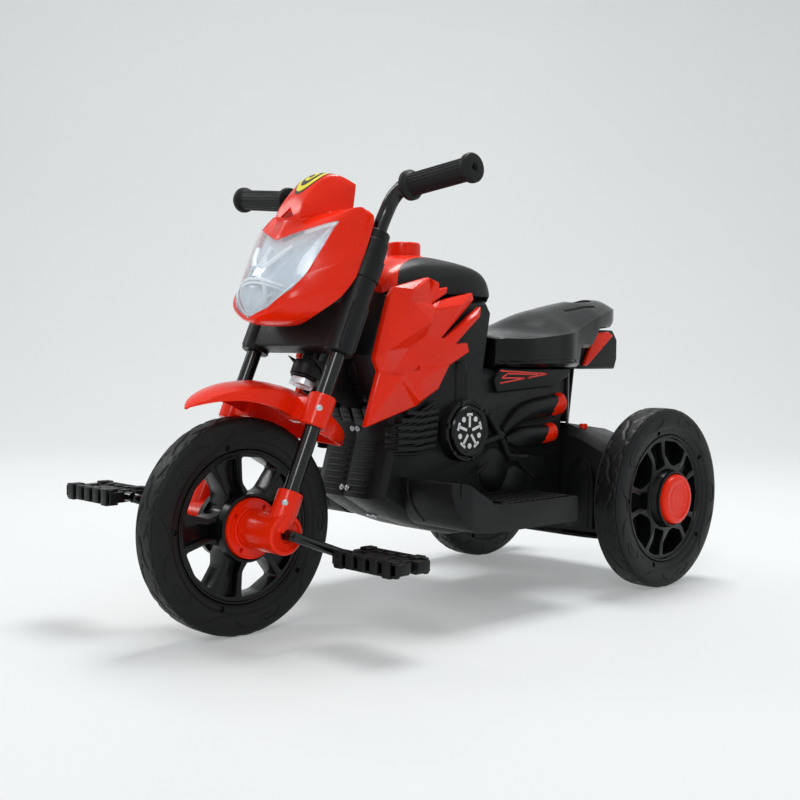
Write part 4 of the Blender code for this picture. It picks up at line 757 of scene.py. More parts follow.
def close_tree(tree, instances, given):
    """Ends a tree in real geometry with one material."""
    real = add(tree, "GeometryNodeRealizeInstances", {}, {"Geometry": instances})
    painted = add(
        tree,
        "GeometryNodeSetMaterial",
        {},
        {"Geometry": real.outputs[0], "Material": given["Material"]},
    )
    add(tree, "NodeGroupOutput", {}, {"Geometry": painted.outputs[0]})
    return tree


def round_axle_tree():
    """Repeats the incoming shape in a circle round an axle along X."""
    tree, given = new_tree(
        "repeat_round_axle",
        [("Count", "Int"), ("Centre", "Vector"), ("Start angle", "Float"), ("Material", "Material")],
    )
    back = add(
        tree, "ShaderNodeVectorMath", {"operation": "SCALE"}, {0: given["Centre"], "Scale": -1.0}
    )
    centred = add(
        tree,
        "GeometryNodeTransform",
        {},
        {"Geometry": given["Geometry"], "Translation": back.outputs[0]},
    )
    points = add(tree, "GeometryNodePoints", {}, {"Count": given["Count"], "Position": given["Centre"]})
    index = add(tree, "GeometryNodeInputIndex")
    share = add(
        tree, "ShaderNodeMath", {"operation": "DIVIDE"}, {0: index.outputs[0], 1: given["Count"]}
    )
    angle = add(
        tree,
        "ShaderNodeMath",
        {"operation": "MULTIPLY_ADD"},
        {0: share.outputs[0], 1: 2 * math.pi, 2: given["Start angle"]},
    )
    turn = add(tree, "ShaderNodeCombineXYZ", {}, {"X": angle.outputs[0]})
    copies = add(
        tree,
        "GeometryNodeInstanceOnPoints",
        {},
        {
            "Points": points.outputs[0],
            "Instance": centred.outputs[0],
            "Rotation": turn.outputs[0],
        },
    )
    return close_tree(tree, copies.outputs[0], given)


def row_tree():
    """Repeats the incoming shape in a straight row."""
    tree, given = new_tree(
        "repeat_in_row", [("Count", "Int"), ("Step", "Vector"), ("Material", "Material")]
    )
    line = add(
        tree,
        "GeometryNodeMeshLine",
        {"mode": "OFFSET"},
        {"Count": given["Count"], "Offset": given["Step"]},
    )
    copies = add(
        tree,
        "GeometryNodeInstanceOnPoints",
        {},
        {"Points": line.outputs[0], "Instance": given["Geometry"]},
    )
    return close_tree(tree, copies.outputs[0], given)


def fastener_tree():
    """Puts the shape of another object on each point, its axis along the point's aim."""
    tree, given = new_tree("place_fasteners", [("Head", "Object"), ("Material", "Material")])
    head = add(tree, "GeometryNodeObjectInfo", {}, {"Object": given["Head"]})
    aim = add(tree, "GeometryNodeInputNamedAttribute", {"data_type": "FLOAT_VECTOR"}, {"Name": "aim"})
    turn = add(
        tree, "FunctionNodeAlignRotationToVector", {"axis": "X"}, {"Vector": aim.outputs[0]}
    )
    copies = add(
        tree,
        "GeometryNodeInstanceOnPoints",
        {},
        {
            "Points": given["Geometry"],
            "Instance": head.outputs["Geometry"],
            "Rotation": turn.outputs[0],
        },
    )
    return close_tree(tree, copies.outputs[0], given)


TREES = {}


def grown(piece, tree_name, look, **inputs):
    """Runs one of the trees on a piece and keeps the result as a plain mesh."""
    if not TREES:
        TREES.update(round_axle=round_axle_tree(), row=row_tree(), fasteners=fastener_tree())
    modifier = piece.modifiers.new("repeat", "NODES")
    values = {key.replace("_", " ").capitalize(): value for key, value in inputs.items()}
    values["Material"] = FINISHES[look]
    modifier.node_group = TREES[tree_name]
    for item in TREES[tree_name].interface.items_tree:
        if item.in_out == "INPUT" and item.name in values:
            modifier[item.identifier] = values[item.name]
    return settle(piece)


def joined(name, *pieces):
    """Joins separate meshes of one body in one object."""
    bm = bmesh.new()
    for piece in pieces:
        bm.from_mesh(piece.data)
        bpy.data.objects.remove(piece, do_unlink=True)
    return piece_from(bm, name, 35, False)


def screw_head():
    """A pan-head screw with a cross recess, its axis along X."""
    radius = bpy.context.scene.ride_on_sizes.screw * 1000
    profile = [(-1.0, 0), (-1.0, radius), (0.6, radius), (1.4, radius * 0.85), (2.0, radius * 0.5), (2.1, 0)]
    head = piece_from(turned(profile, steps=16), "screw_head")
    bm = bmesh.new()
    block(bm, (1.2, -radius * 0.6, -0.5), (3, radius * 0.6, 0.5))
    cutter = piece_from(bm, "slot")
    carved(head, cutter)
    bm = bmesh.new()
    block(bm, (1.2, -0.5, -radius * 0.6), (3, 0.5, radius * 0.6))
    return carved(head, piece_from(bm, "slot"))


def fasteners(name, body, places):
    """Screws at (point, aim) pairs, all on one body."""
    mesh = bpy.data.meshes.new(name)
    mesh.from_pydata([point for point, aim in places], [], [])
    aims = mesh.attributes.new("aim", "FLOAT_VECTOR", "POINT")
    for i, (point, aim) in enumerate(places):
        aims.data[i].vector = Vector(aim).normalized()
    made = bpy.data.objects.new(name, mesh)
    bpy.context.scene.collection.objects.link(made)
    head = screw_head()
    grown(made, "fasteners", "zinc_steel", head=head)
    bpy.data.objects.remove(head, do_unlink=True)
    return dressed(made, body, "zinc_steel")


def dressed(piece, body, look, *nodes):
    """Finishes a piece: its material, its body and the nodes that it stands for."""
    if look:
        show(piece, look)
    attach(piece, body)
    if nodes:
        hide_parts(*nodes)
    return piece


# Wheels

# Half of the tyre's section in millimetres, as (share of the half width, radius)
TYRE_WALL = [
    (0.735, 128.6),
    (0.765, 127.3),
    (0.800, 127.3),
    (0.830, 128.0),
    (0.890, 126.8),
    (0.945, 124.2),
    (0.980, 120.5),
    (0.998, 115.5),
    (0.998, 110.0),
    (0.985, 105.8),
    (0.960, 103.2),
    (0.910, 102.0),
    (0.880, 101.2),
    (0.870, 99.4),
    (0.840, 96.0),
    (0.760, 93.2),
    (0.690, 92.0),
]
TYRE_STEPS = 300
TREAD_EDGE = 0.70


def tread_depth(across, angle, groove):
    """Depth of the moulded tread: two rows of wavy dashes and short notches at the edges."""
    wave = 0.28 * math.sin(12 * angle)
    gate = math.sin(24 * angle)
    depth = 0.0
    for lane in (-0.22, 0.22):
        gap = abs(across - lane * 1.2 - wave * (1 if lane > 0 else -1))
        if gap < 0.085 and gate * (1 if lane > 0 else -1) > -0.35:
            depth = groove
    if abs(across) > 0.52 and math.sin(36 * angle) > 0.62:
        depth = groove
    return depth


def moulded_tyre(name, centre, half):
    """A tyre with a grooved tread, and its dimples cut in both walls."""
    groove = bpy.context.scene.ride_on_sizes.groove * 1000
    lanes = 22
    tread = [(-TREAD_EDGE + 2 * TREAD_EDGE * k / lanes) for k in range(lanes + 1)]
    wall = [(share * half, radius) for share, radius in TYRE_WALL]
    profile = [(-x, r) for x, r in wall[::-1]]
    profile += [(t * half, WHEEL_RADIUS * 1000 - 1.6 * abs(t) ** 3.0) for t in tread]
    profile += wall
    bm = turned(profile, centre, TYRE_STEPS)
    for v in bm.verts:
        local = v.co - centre
        across = local.x * 1000 / half
        radius = math.hypot(local.y, local.z)
        if abs(across) < TREAD_EDGE + 0.001 and radius > 0.128:
            depth = tread_depth(across, math.atan2(local.y, local.z), groove) / 1000
            v.co.y -= local.y / radius * depth
            v.co.z -= local.z / radius * depth
    tyre = piece_from(bm, name, 50)
    bm = bmesh.new()
    for side in (-1, 1):
        for k in range(5):
            angle = math.radians(-16 + 72 * k)
            out = Vector((0, math.sin(angle), math.cos(angle))) * 0.0985
            middle = centre + out + Vector((side * (half - 1.0) / 1000, 0, 0))
            bmesh.ops.create_cone(
                bm,
                cap_ends=True,
                segments=16,
                radius1=0.0036,
                radius2=0.0036,
                depth=0.010,
                matrix=Matrix.Translation(middle) @ Matrix.Rotation(math.pi / 2, 4, "Y"),
            )
    return carved(tyre, piece_from(bm, "dimples"), angle=50)


# Raised lines of one sector of the tyre wall, as (degrees round the wheel, radius in millimetres)
SWIRLS = [
    [(-9, 104), (-12, 109), (-10, 115), (-4, 118), (2, 116), (3, 112), (-1, 110), (-5, 111)],
    [(8, 121), (14, 119), (19, 115), (22, 109)],
    [(27, 106), (33, 107), (38, 111), (41, 117), (45, 120)],
]


def swirl_lines(name, centre, half, side):
    """The raised swirls moulded on one wall of a tyre."""
    radius = bpy.context.scene.ride_on_sizes.swirl
    wall = sorted((r, share * half) for share, r in TYRE_WALL)
    bm = bmesh.new()
    for stroke in SWIRLS:
        points = []
        for degrees, r in smooth(stroke, 4):
            low = max((w for w in wall if w[0] <= r), default=wall[0])
            high = min((w for w in wall if w[0] > r), default=wall[-1])
            share = (r - low[0]) / max(high[0] - low[0], 0.001)
            out = low[1] + (high[1] - low[1]) * share
            a = math.radians(degrees)
            points.append(
                centre + Vector((side * out, r * math.sin(a), r * math.cos(a))) / 1000
            )
        tube(bm, points, lambda t: radius * (0.35 + 0.65 * math.sin(math.pi * min(max(t, 0.05), 0.95))), 6)
    lines = piece_from(bm, name)
    return grown(
        lines, "round_axle", "tyre_plastic", count=5, centre=centre, start_angle=math.radians(50)
    )


def rounded(corners, reach, steps=3):
    """A flat outline with its corners cut round, reach in the outline's own unit."""
    out = []
    count = len(corners)
    for i, here in enumerate(corners):
        here = Vector(here)
        before = Vector(corners[i - 1])
        after = Vector(corners[(i + 1) % count])
        a = here + (before - here).normalized() * min(reach, (before - here).length * 0.45)
        b = here + (after - here).normalized() * min(reach, (after - here).length * 0.45)
        for k in range(steps + 1):
            t = k / steps
            out.append(tuple(a * (1 - t) ** 2 + here * 2 * t * (1 - t) + b * t**2))
    return out


def sector_outline(middle, corners):
    """An outline round an axle from (degrees from the middle, radius) in millimetres."""
    flat = [
        (
            r / 1000 * math.sin(middle + math.radians(d)),
            r / 1000 * math.cos(middle + math.radians(d)),
        )
        for d, r in corners
    ]
    return rounded(flat, 0.004)


def spoked_rim(name, centre, half, hub, hub_half, open_web):
    """A wheel centre: barrel with a lip, deep web, bent windows and a channel in each spoke."""
    spokes = bpy.context.scene.ride_on_sizes.spokes
    barrel = half - 7
    web = 15
    profile = [
        (-barrel, 91.7),
        (barrel, 91.7),
        (barrel + 1.5, 90.9),
        (barrel + 1.5, 89.0),
        (barrel - 0.5, 87.6),
        (12.5, 86.6),
        (web, hub + 5),
        (web + 1, hub + 2),
        (hub_half, hub),
        (hub_half, hub - 6),
        (hub_half - 2, hub - 7),
        (hub_half - 2, 6.5),
    ]
    profile += [(-x, r) for x, r in profile[:1:-1]]
    rim = piece_from(turned(profile, centre, 120), name, 30)
    turn = math.radians(18)
    pitch = 2 * math.pi / spokes
    bm = bmesh.new()
    inner = hub + 8
    here = Matrix.Translation(centre)
    for k in range(spokes):
        corners = [(-5, inner), (-21, inner + 15), (-20, 83.5), (0, 84.5), (20, 83.5), (21, inner + 15),
            (5, inner)]
        prism(bm, sector_outline(turn + pitch * k, corners), -0.05 if open_web else -0.009, 0.05, here)
    carved(rim, piece_from(bm, "windows"))
    for low, high in ((0.0030, 0.05), (-0.05, -0.0030)):
        bm = bmesh.new()
        for k in range(spokes):
            corners = [(-15, inner - 1), (-8.5, inner + 17), (-10.5, 83), (0, 84), (10.5, 83),
                (8.5, inner + 17), (15, inner - 1)]
            prism(bm, sector_outline(turn + pitch * (k + 0.5), corners), low, high, here)
        carved(rim, piece_from(bm, "channels"))
    return bevelled(rim, 0.5, 2, 40)


class RIDEON_OT_wheels(bpy.types.Operator):
    """Builds the tyres, their raised swirls and the spoked rims"""

    bl_idname = "rideon.wheels"
    bl_label = "Tyres and rims"

    def execute(self, context):
        places = [
            ("front", "front_wheel", FRONT_AXLE, 20, 30, 22, True),
            ("rear_left", "rear_wheel_left", REAR_AXLE, 22, 41, 26, False),
        ]
        for label, body, centre, half, hub, hub_half, open_web in places:
            tyre = moulded_tyre(label + "_tyre_moulded", centre, half)
            rim = spoked_rim(label + "_rim_spoked", centre, half, hub, hub_half, open_web)
            lines = [swirl_lines(f"{label}_swirls_{side}", centre, half, side) for side in (-1, 1)]
            marks = joined(label + "_tyre_swirls", *lines)
            built = [(tyre, "tyre", "tyre_plastic"), (marks, None, "tyre_plastic")]
            built.append((rim, "rim", "gloss_black_plastic"))
            if label == "rear_left":
                for piece, part, look in built:
                    other = twin(piece, piece.name.replace("left", "right"))
                    stands = [f"rear_{part}_right"] if part else []
                    dressed(other, "rear_wheel_right", look, *stands)
            for piece, part, look in built:
                stands = []
                if part:
                    stands = [f"{label.split('_')[0]}_{part}" + ("_left" if "left" in label else "")]
                dressed(piece, body, look, *stands)
        return {"FINISHED"}


class RIDEON_OT_hubs(bpy.types.Operator):
    """Builds the red hub flanges, the hub caps and the black rings round them"""

    bl_idname = "rideon.hubs"
    bl_label = "Hubs"

    def execute(self, context):
        for side, sign in (("left", 1), ("right", -1)):
            near = 22.3
            profile = [(near, 6.4), (near + 9.5, 6.4), (near + 9.5, 24), (near + 8.7, 25)]
            profile += [(near + 8.7, 33.0), (near + 9.5, 34.0), (near + 9.3, 35.4), (near + 8.0, 36),
                (near, 36)]
            flange = piece_from(turned(profile, FRONT_AXLE, 80), "hub_flange_turned", 30)
            bm = bmesh.new()
            for k in range(4):
                angle = math.radians(35 + 90 * k)
                out = Vector((near / 1000 + 0.009, 0.029 * math.sin(angle), 0.029 * math.cos(angle)))
                bmesh.ops.create_cone(
                    bm,
                    cap_ends=True,
                    segments=20,
                    radius1=0.0030,
                    radius2=0.0030,
                    depth=0.010,
                    matrix=Matrix.Translation(FRONT_AXLE + out) @ Matrix.Rotation(math.pi / 2, 4, "Y"),
                )
            carved(flange, piece_from(bm, "wells"))
            flange.name = "front_flange_" + side
            ring = [(near + 0.2, 36.3), (near + 3.5, 36.4), (near + 5.5, 38), (near + 4.0, 40.5),
                (near - 6, 41.5), (near - 6, 36.3)]
            collar = piece_from(turned(ring, FRONT_AXLE, 80), "front_flange_ring_" + side, 30)
            if sign < 0:
                for piece in (flange, collar):
                    piece.data.transform(Matrix.Scale(-1, 4, (1, 0, 0)))
                    piece.data.flip_normals()
            dressed(flange, "front_wheel", "red_plastic", "front_hub_flange_" + side)
            dressed(collar, "front_wheel", "gloss_black_plastic")
            near = 26.3
            cap = [(near, 0), (near, 35.5), (near + 6.5, 35.5), (near + 9, 34.4), (near + 10.6, 32.2),
                (near + 11, 30)]
            cap += [(near + 11, 27.6), (near + 10, 26.4), (near + 9.4, 25.2), (near + 9.4, 20),
                (near + 9.9, 19.2)]
            cap += [(near + 9.9, 17.5), (near + 9.2, 16.8), (near + 9.0, 0)]
            dome = piece_from(turned(cap, REAR_AXLE, 80), "rear_cap_turned_left", 30)
            ring = [(near - 1, 36.2), (near + 2, 36.2), (near + 3.6, 37.6), (near + 3, 40.2), (near - 1, 41)]
            collar = piece_from(turned(ring, REAR_AXLE, 80), "rear_cap_ring_left", 30)
            if sign < 0:
                for piece in (dome, collar):
                    piece.data.transform(Matrix.Scale(-1, 4, (1, 0, 0)))
                    piece.data.flip_normals()
                    piece.name = piece.name.replace("left", "right")
            dressed(dome, "rear_wheel_" + side, "red_plastic", "rear_hub_cap_" + side)
            dressed(collar, "rear_wheel_" + side, "gloss_black_plastic")
        return {"FINISHED"}


# Pedals and crank


def block_pedal(name):
    """A moulded pedal: a frame with U-notched ends, raised blocks, ribs and a window."""
    low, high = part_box("pedal_left")
    axis = (low + high) / 2
    here = Matrix.Translation(Vector((low.x, axis.y, axis.z)))
    length = (high.x - low.x) * 1000
    bm = bmesh.new()
    for side in (-1, 1):
        across = sorted((side * 6.5, side * 26.0))
        block(bm, (0, across[0], -6.5), (length, across[1], 6.5), here)
        for start in (6, 26, 46, 66, 86):
            tall = 10 if start in (6, 86) else 8.6
            across = sorted((side * 12.0, side * 28.5))
            block(bm, (start, across[0], -tall), (start + 13, across[1], tall), here)
        across = sorted((side * 20.0, side * 26.0))
        block(bm, (2, across[0], -9.2), (length - 2, across[1], 9.2), here)
    block(bm, (9, -8, -7.5), (17, 8, 7.5), here)
    block(bm, (length - 22, -8, -7.5), (length - 9, 8, 7.5), here)
    block(bm, (30, -8, -7.0), (length - 38, 8, 7.0), here)
    pedal = piece_from(bm, name, 30)
    return bevelled(pedal, 0.8, 2, 40)


def crank_route(reach):
    """The crank's centre line: spindle, arm, axle, arm and spindle."""
    arm = Vector((0, *reach))
    bends = [(0, 0), (0.097, 0), (0.1025, 0.03), (0.1045, 0.14), (0.104, 0.85), (0.108, 0.965), (0.116, 1)]
    bends.append((0.215, 1))
    half = [Vector((out, 0, 0)) + arm * share for out, share in bends]
    return [FRONT_AXLE - p for p in half[:0:-1]] + [FRONT_AXLE + p for p in half]


class RIDEON_OT_pedals(bpy.types.Operator):
    """Builds the pedals and the bent crank"""

    bl_idname = "rideon.pedals"
    bl_label = "Pedals"

    def execute(self, context):
        left = block_pedal("pedal_moulded_left")
        right = left.copy()
        right.data = left.data.copy()
        right.name = "pedal_moulded_right"
        context.scene.collection.objects.link(right)
        low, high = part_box("pedal_left")
        low_right, high_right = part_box("pedal_right")
        middle, middle_right = (low + high) / 2, (low_right + high_right) / 2
        turn = Matrix.Translation(middle_right) @ Matrix.Rotation(math.pi, 4, "Z")
        right.data.transform(turn @ Matrix.Translation(-middle))
        dressed(left, "left_pedal", "black_plastic", "pedal_left")
        dressed(right, "right_pedal", "black_plastic", "pedal_right")
        bm = bmesh.new()
        route = crank_route((middle - FRONT_AXLE).yz)
        tube(bm, smooth([tuple(p) for p in route], 3), 0.006, 20)
        crank = piece_from(bm, "crank_bent")
        dressed(crank, "front_wheel", "black_steel", "crank_axle")
        return {"FINISHED"}


# Fork, fender and steering head


class RIDEON_OT_fork(bpy.types.Operator):
    """Builds the red feet, the painted tubes and the red fender with its collars"""

    bl_idname = "rideon.fork"
    bl_label = "Fork and fender"

    def execute(self, context):
        screws = []
        for side, sign in (("left", 1), ("right", -1)):
            foot = fork_foot("fork_foot_moulded_" + side)
            leg = fork_matrix(0.081, 0, 0) @ UPRIGHT
            tube_profile = [(13.9, 0), (13.9, 9.5), (304, 9.5), (304, 0)]
            pipe = piece_from(turned(tube_profile, steps=40, matrix=leg), "fork_tube_painted_" + side)
            if sign < 0:
                for piece in (foot, pipe):
                    piece.data.transform(Matrix.Scale(-1, 4, (1, 0, 0)))
                    piece.data.flip_normals()
            dressed(foot, "steering", "red_plastic", "fork_foot_" + side)
            dressed(pipe, "steering", "black_steel", "fork_tube_" + side)
            aim = Vector((sign * 0.62, -0.78, 0.0)).normalized()
            screws.append((fork(sign * 0.081, 0, 0.040) + aim * 0.0155, aim))
            aim = Vector((sign * 0.75, -0.66, 0.0)).normalized()
            screws.append((fork(sign * 0.081, 0, 0.156) + aim * 0.0165, aim))
        fasteners("fork_screws", "steering", screws)
        fender = front_fender("front_fender_moulded")
        dressed(fender, "steering", "red_plastic", "front_fender")
        return {"FINISHED"}


def fork_foot(name):
    """The left foot: a ringed axle boss with the leg's sleeve standing on it."""
    near = 33.6
    face = 95
    profile = [(near, 6.5), (face - 3.0, 6.5), (face - 3.0, 9.5), (face - 0.8, 10.2), (face - 0.8, 12.2)]
    profile += [(face - 2.4, 13.0), (face - 2.4, 17.6), (face, 18.8), (face, 21.2), (face - 1.8, 23.4),
        (near, 23.4)]
    foot = piece_from(turned(profile, FRONT_AXLE, 64), name)
    leg = fork_matrix(0.081, 0, 0) @ UPRIGHT
    sleeve = [(2, 9.7), (2, 15.5), (46.5, 15.2), (50.2, 14.8), (51, 13.8), (51, 9.7)]
    foot = carved(foot, piece_from(turned(sleeve, steps=48, matrix=leg), "sleeve"), "UNION")
    bore = piece_from(turned([(13.5, 0), (13.5, 9.7), (120, 9.7), (120, 0)], steps=48, matrix=leg), "bore")
    foot = carved(foot, bore)
    axle = piece_from(turned([(20, 0), (20, 6.5), (120, 6.5), (120, 0)], FRONT_AXLE, 40), "axle")
    return carved(foot, axle)


# Degrees round the front axle, then ridge radius, half width and edge radius in millimetres
FENDER_ROWS = [
    (-27.5, 160.5, 1.5, 159.5),
    (-21.0, 164.5, 19.0, 158.0),
    (-8.0, 170.5, 38.0, 152.0),
    (6.0, 174.0, 47.0, 144.5),
    (22.0, 177.0, 50.0, 137.5),
    (36.0, 180.0, 49.5, 138.5),
    (46.0, 182.5, 47.0, 146.0),
    (54.0, 184.0, 33.0, 160.0),
    (61.5, 184.8, 5.0, 182.0),
]


def fender_row(degrees, ridge, half, edge):
    """One section of the fender: a flat-topped arch with a soft shoulder."""
    section = [(-1, 0), (-0.985, 0.30), (-0.96, 0.56), (-0.93, 0.66), (-0.72, 0.80), (-0.42, 0.93), (0, 1)]
    section += [(-x, r) for x, r in section[-2::-1]]
    angle = math.radians(degrees)
    points = []
    for share, rise in section:
        r = edge + (ridge - edge) * rise
        points.append(
            FRONT_AXLE + Vector((share * half, r * math.sin(angle), r * math.cos(angle))) / 1000
        )
    return points


def front_fender(name):
    bm = bmesh.new()
    loft(bm, [fender_row(*row) for row in smooth(FENDER_ROWS, 5)], closed=False, caps=False)
    fender = piece_from(bm, name, 28)
    if fender.data.polygons[len(fender.data.polygons) // 2].normal.z < 0:
        fender.data.flip_normals()
    walled(fender, 2.6, 28)
    bm = bmesh.new()
    for sign in (-1, 1):
        here = fork_matrix(sign * 0.081, 0, 0)
        across = sorted((-sign * 44, -sign * 4))
        block(bm, (across[0], -9, 136), (across[1], 6, 166), here)
    arms = bevelled(piece_from(bm, "arms"), 2.0, 3)
    collars = []
    for sign in (-1, 1):
        here = fork_matrix(sign * 0.081, 0, 0) @ UPRIGHT
        profile = [(131, 9.7), (131, 15.2), (132.5, 16.5), (168.5, 16.5), (170, 15.4), (170, 9.7)]
        collars.append(piece_from(turned(profile, steps=48, matrix=here), "collar"))
    return joined(name, fender, arms, *collars)


class RIDEON_OT_steering_head(bpy.types.Operator):
    """Builds the black head cover between the fork tubes"""

    bl_idname = "rideon.steering_head"
    bl_label = "Steering head"

    def execute(self, context):
        bm = bmesh.new()
        here = fork_matrix(0, 0, 0)
        block(bm, (-97, -13, 229), (97, 13, 288), here)
        block(bm, (-81, -6, 250), (81, 6, 365), here)
        block(bm, (-60, -15.5, 236), (60, -10, 276), here)
        block(bm, (-22, 0, 231), (22, 40, 290), here)
        plates = bevelled(piece_from(bm, "plates"), 2.5, 3)
        sleeves = []
        for sign in (-1, 1):
            side = fork_matrix(sign * 0.081, 0, 0) @ UPRIGHT
            profile = [(225, 9.7), (225, 16.6), (226.2, 17.5), (320, 17.5), (321.5, 19.5), (348, 19.5)]
            profile += [(349.5, 17.8), (371, 17.2), (372.5, 15.8), (383.5, 15.4), (385, 14.4), (385, 9.7)]
            sleeves.append(piece_from(turned(profile, steps=48, matrix=side), "sleeve"))
        stem = fork_matrix(0, 0.026, 0) @ UPRIGHT
        bore = piece_from(turned([(200, 0), (200, 10.3), (320, 10.3), (320, 0)], steps=32, matrix=stem),
            "bore")
        carved(plates, bore)
        cover = joined("head_cover_moulded", plates, *sleeves)
        dressed(cover, "steering", "black_plastic", "head_cover")
        return {"FINISHED"}


class RIDEON_OT_bars(bpy.types.Operator):
    """Builds the bent bars and their ribbed grips"""

    bl_idname = "rideon.bars"
    bl_label = "Bars and grips"

    def execute(self, context):
        start, end = at(113.5, 168.7, 538.7), at(221.5, 168.7, 550)
        way = (end - start).normalized()
        top = fork(0.081, 0, 0.385)
        route = [fork(0.081, 0, 0.305), fork(0.081, 0, 0.35), top, fork(0.0812, 0, 0.398),
            at(82.5, 161.2, 508)]
        route += [at(86, 165, 520), at(92, 167.2, 529), at(101, 168.2, 535.5), start, end - way * 0.004]
        bm = bmesh.new()
        tube(bm, smooth([tuple(p) for p in route], 4), 0.0095, 24)
        bar = piece_from(bm, "handlebar_bent_left")
        length = (end - start).length * 1000
        profile = [(0, 9.8), (0, 17.2), (1.2, 18.5), (6.2, 18.5), (7.6, 17.0), (9.5, 14.6), (12, 13.4)]
        profile += [(length - 12, 13.4), (length - 10.5, 14.6), (length - 9, 17.0), (length - 7, 17.5)]
        profile += [(length - 3, 17.5), (length - 0.8, 16.2), (length, 14.0), (length, 5),
            (length - 2.5, 4), (length - 2.5, 0)]
        turn = Matrix.Translation(start) @ way.to_track_quat("X", "Z").to_matrix().to_4x4()
        sleeve = piece_from(turned(profile, steps=64, matrix=turn), "grip_sleeve")
        bm = bmesh.new()
        block(bm, (11, -0.75, 13.0), (length - 11, 0.75, 14.0))
        rib = bevelled(piece_from(bm, "ribs"), 0.3, 2)
        grown(rib, "round_axle", "grip_rubber", count=20, centre=Vector(), start_angle=0.0)
        rib.data.transform(turn)
        grip = joined("grip_ribbed_left", sleeve, rib)
        dressed(twin(bar, "handlebar_bent_right"), "steering", "black_steel", "handlebar_right")
        dressed(twin(grip, "grip_ribbed_right"), "steering", "grip_rubber", "grip_right")
        dressed(bar, "steering", "black_steel", "handlebar_left")
        dressed(grip, "steering", "grip_rubber", "grip_left")
        return {"FINISHED"}


# Cowl: the left half's corners, across, behind the front axle and above the floor
COWL = {
    # lens
    "tip": (0, 13, 377),
    "b1": (30, 19, 389),
    "b2": (53, 31, 410),
    "b3": (61, 53, 430),
    "b4": (67, 69, 461),
    "horn": (73, 85, 493),
    "v1": (37, 69, 483),
    "vn": (0, 55, 472),
    "n1": (0, 11, 398),
    "n2": (0, 22, 430),
    "n3": (0, 39, 455),
    "q1": (30, 20, 407),
    "q2": (35, 33, 434),
    "q3": (39, 51, 461),
    # lip and cheek
    "c0": (0, 11, 370),
    "c1": (31, 17, 379),
    "c2": (57, 31, 401),
    "m3": (75, 60, 404),
    "m4": (85, 80, 422),
    "d1": (87, 84, 441),
    "d3": (82, 100, 468),
    "d5": (83, 112, 497),
    "g0": (69, 97, 502),
    "h0": (33, 77, 493),
    "i0": (0, 62, 482),
    # underside
    "k0": (0, 46, 367),
    "k1": (32, 44, 368),
    "k2": (63, 47, 378),
    "e0": (0, 75, 368),
    "e1": (34, 68, 369),
    "e2": (64, 60, 378),
    "e3": (77, 72, 390),
    # wing and rear edge
    "d2": (92, 110, 455),
    "d4": (91, 118, 473),
    "d6": (90, 128, 497),
    "e4": (87, 88, 403),
    "e5": (90, 107, 427),
    "e6": (91, 125, 461),
    "e7": (90, 140, 492),
    "e8": (86, 137, 508),
    "g1": (80, 117, 513),
    "g2": (86, 128, 512),
    # deck
    "h1": (48, 108, 508),
    "h2": (52, 136, 514),
    "f0": (0, 71, 496),
    "f1": (23, 75, 498),
    "f2": (38, 108, 508),
    "f3": (45, 141, 514),
    # cap: its beak, the recess in its front, its sides and its crown
    "r0": (0, 72, 500),
    "r1": (15, 72, 501),
    "r2": (26, 74, 503),
    "a0": (0, 78, 512),
    "a1": (23, 79, 516),
    "j0": (0, 86, 528),
    "j1": (20, 87, 527),
    "l0": (0, 98, 547),
    "l1": (21, 101, 542),
    "t1": (38, 113, 529),
    "s0": (0, 124, 566),
    "s1": (26, 125, 562),
    "w0": (0, 152, 560),
    "w1": (39, 151, 546),
}
LENS_EDGE = "tip b1 b2 b3 b4 horn v1 vn"
LENS_FACES = [
    "tip b1 q1 n1",
    "n1 q1 q2 n2",
    "n2 q2 q3 n3",
    "n3 q3 v1 vn",
    "q1 b1 b2 b3",
    "q1 b3 b4 q2",
    "q2 b4 horn q3",
    "q3 horn v1",
]
LENS_SKIRT = [
    "tip c0 c1 b1",
    "b1 c1 c2 b2",
    "b2 c2 m3 b3",
    "b3 m3 m4 d1",
    "b3 d1 d3 b4",
    "b4 d3 d5 horn",
    "v1 horn g0 h0",
    "vn v1 h0 i0",
]
COWL_FACES = [
    *LENS_FACES,
    *LENS_SKIRT,
    "c0 k0 k1 c1",
    "c1 k1 k2 c2",
    "k0 e0 e1 k1",
    "k1 e1 e2 k2",
    "k2 e2 e3 m3",
    "c2 k2 m3",
    "m3 e3 e4 m4",
    "m4 e4 e5 d2",
    "d1 m4 d2",
    "d1 d2 d4 d3",
    "d2 e5 e6 d4",
    "d3 d4 d6 d5",
    "d4 e6 e7 d6",
    "horn d5 g1 g0",
    "d5 d6 g2 g1",
    "d6 e7 e8 g2",
    "h0 g0 g1 h1",
    "h1 g1 g2 h2",
    "g2 e8 h2",
    "i0 h0 f1 f0",
    "h0 h1 f2 f1",
    "h1 h2 f3 f2",
    "f0 f1 r1 r0",
    "f1 r2 r1",
    "r1 r2 a1 a0",
    "a0 a1 j1 j0",
    "f1 f2 r2",
    "r2 f2 t1 a1",
    "a1 t1 l1 j1",
    "j0 j1 l1 l0",
    "l1 t1 s1",
    "l0 l1 s1 s0",
    "f2 f3 w1 t1",
    "t1 w1 s1",
    "s0 s1 w1 w0",
]
COWL_CREASES = [
    ("b3 d1 d2 e5", 1.0),
    ("d1 d3 d5 g0", 0.35),
    ("c1 c2 m3 m4", 0.55),
    ("h0 g0 g1 g2", 0.6),
    ("f0 f1 f2 f3", 0.9),
    ("vn i0 f0", 0.7),
    ("f1 r2 a1 j1", 0.55),
    ("r2 t1 w1", 0.75),
    ("j1 l1 s1 w1", 0.8),
    ("j0 j1", 0.5),
]
# Height of the middle of the lens, in millimetres
LENS_MIDDLE_Z = 432


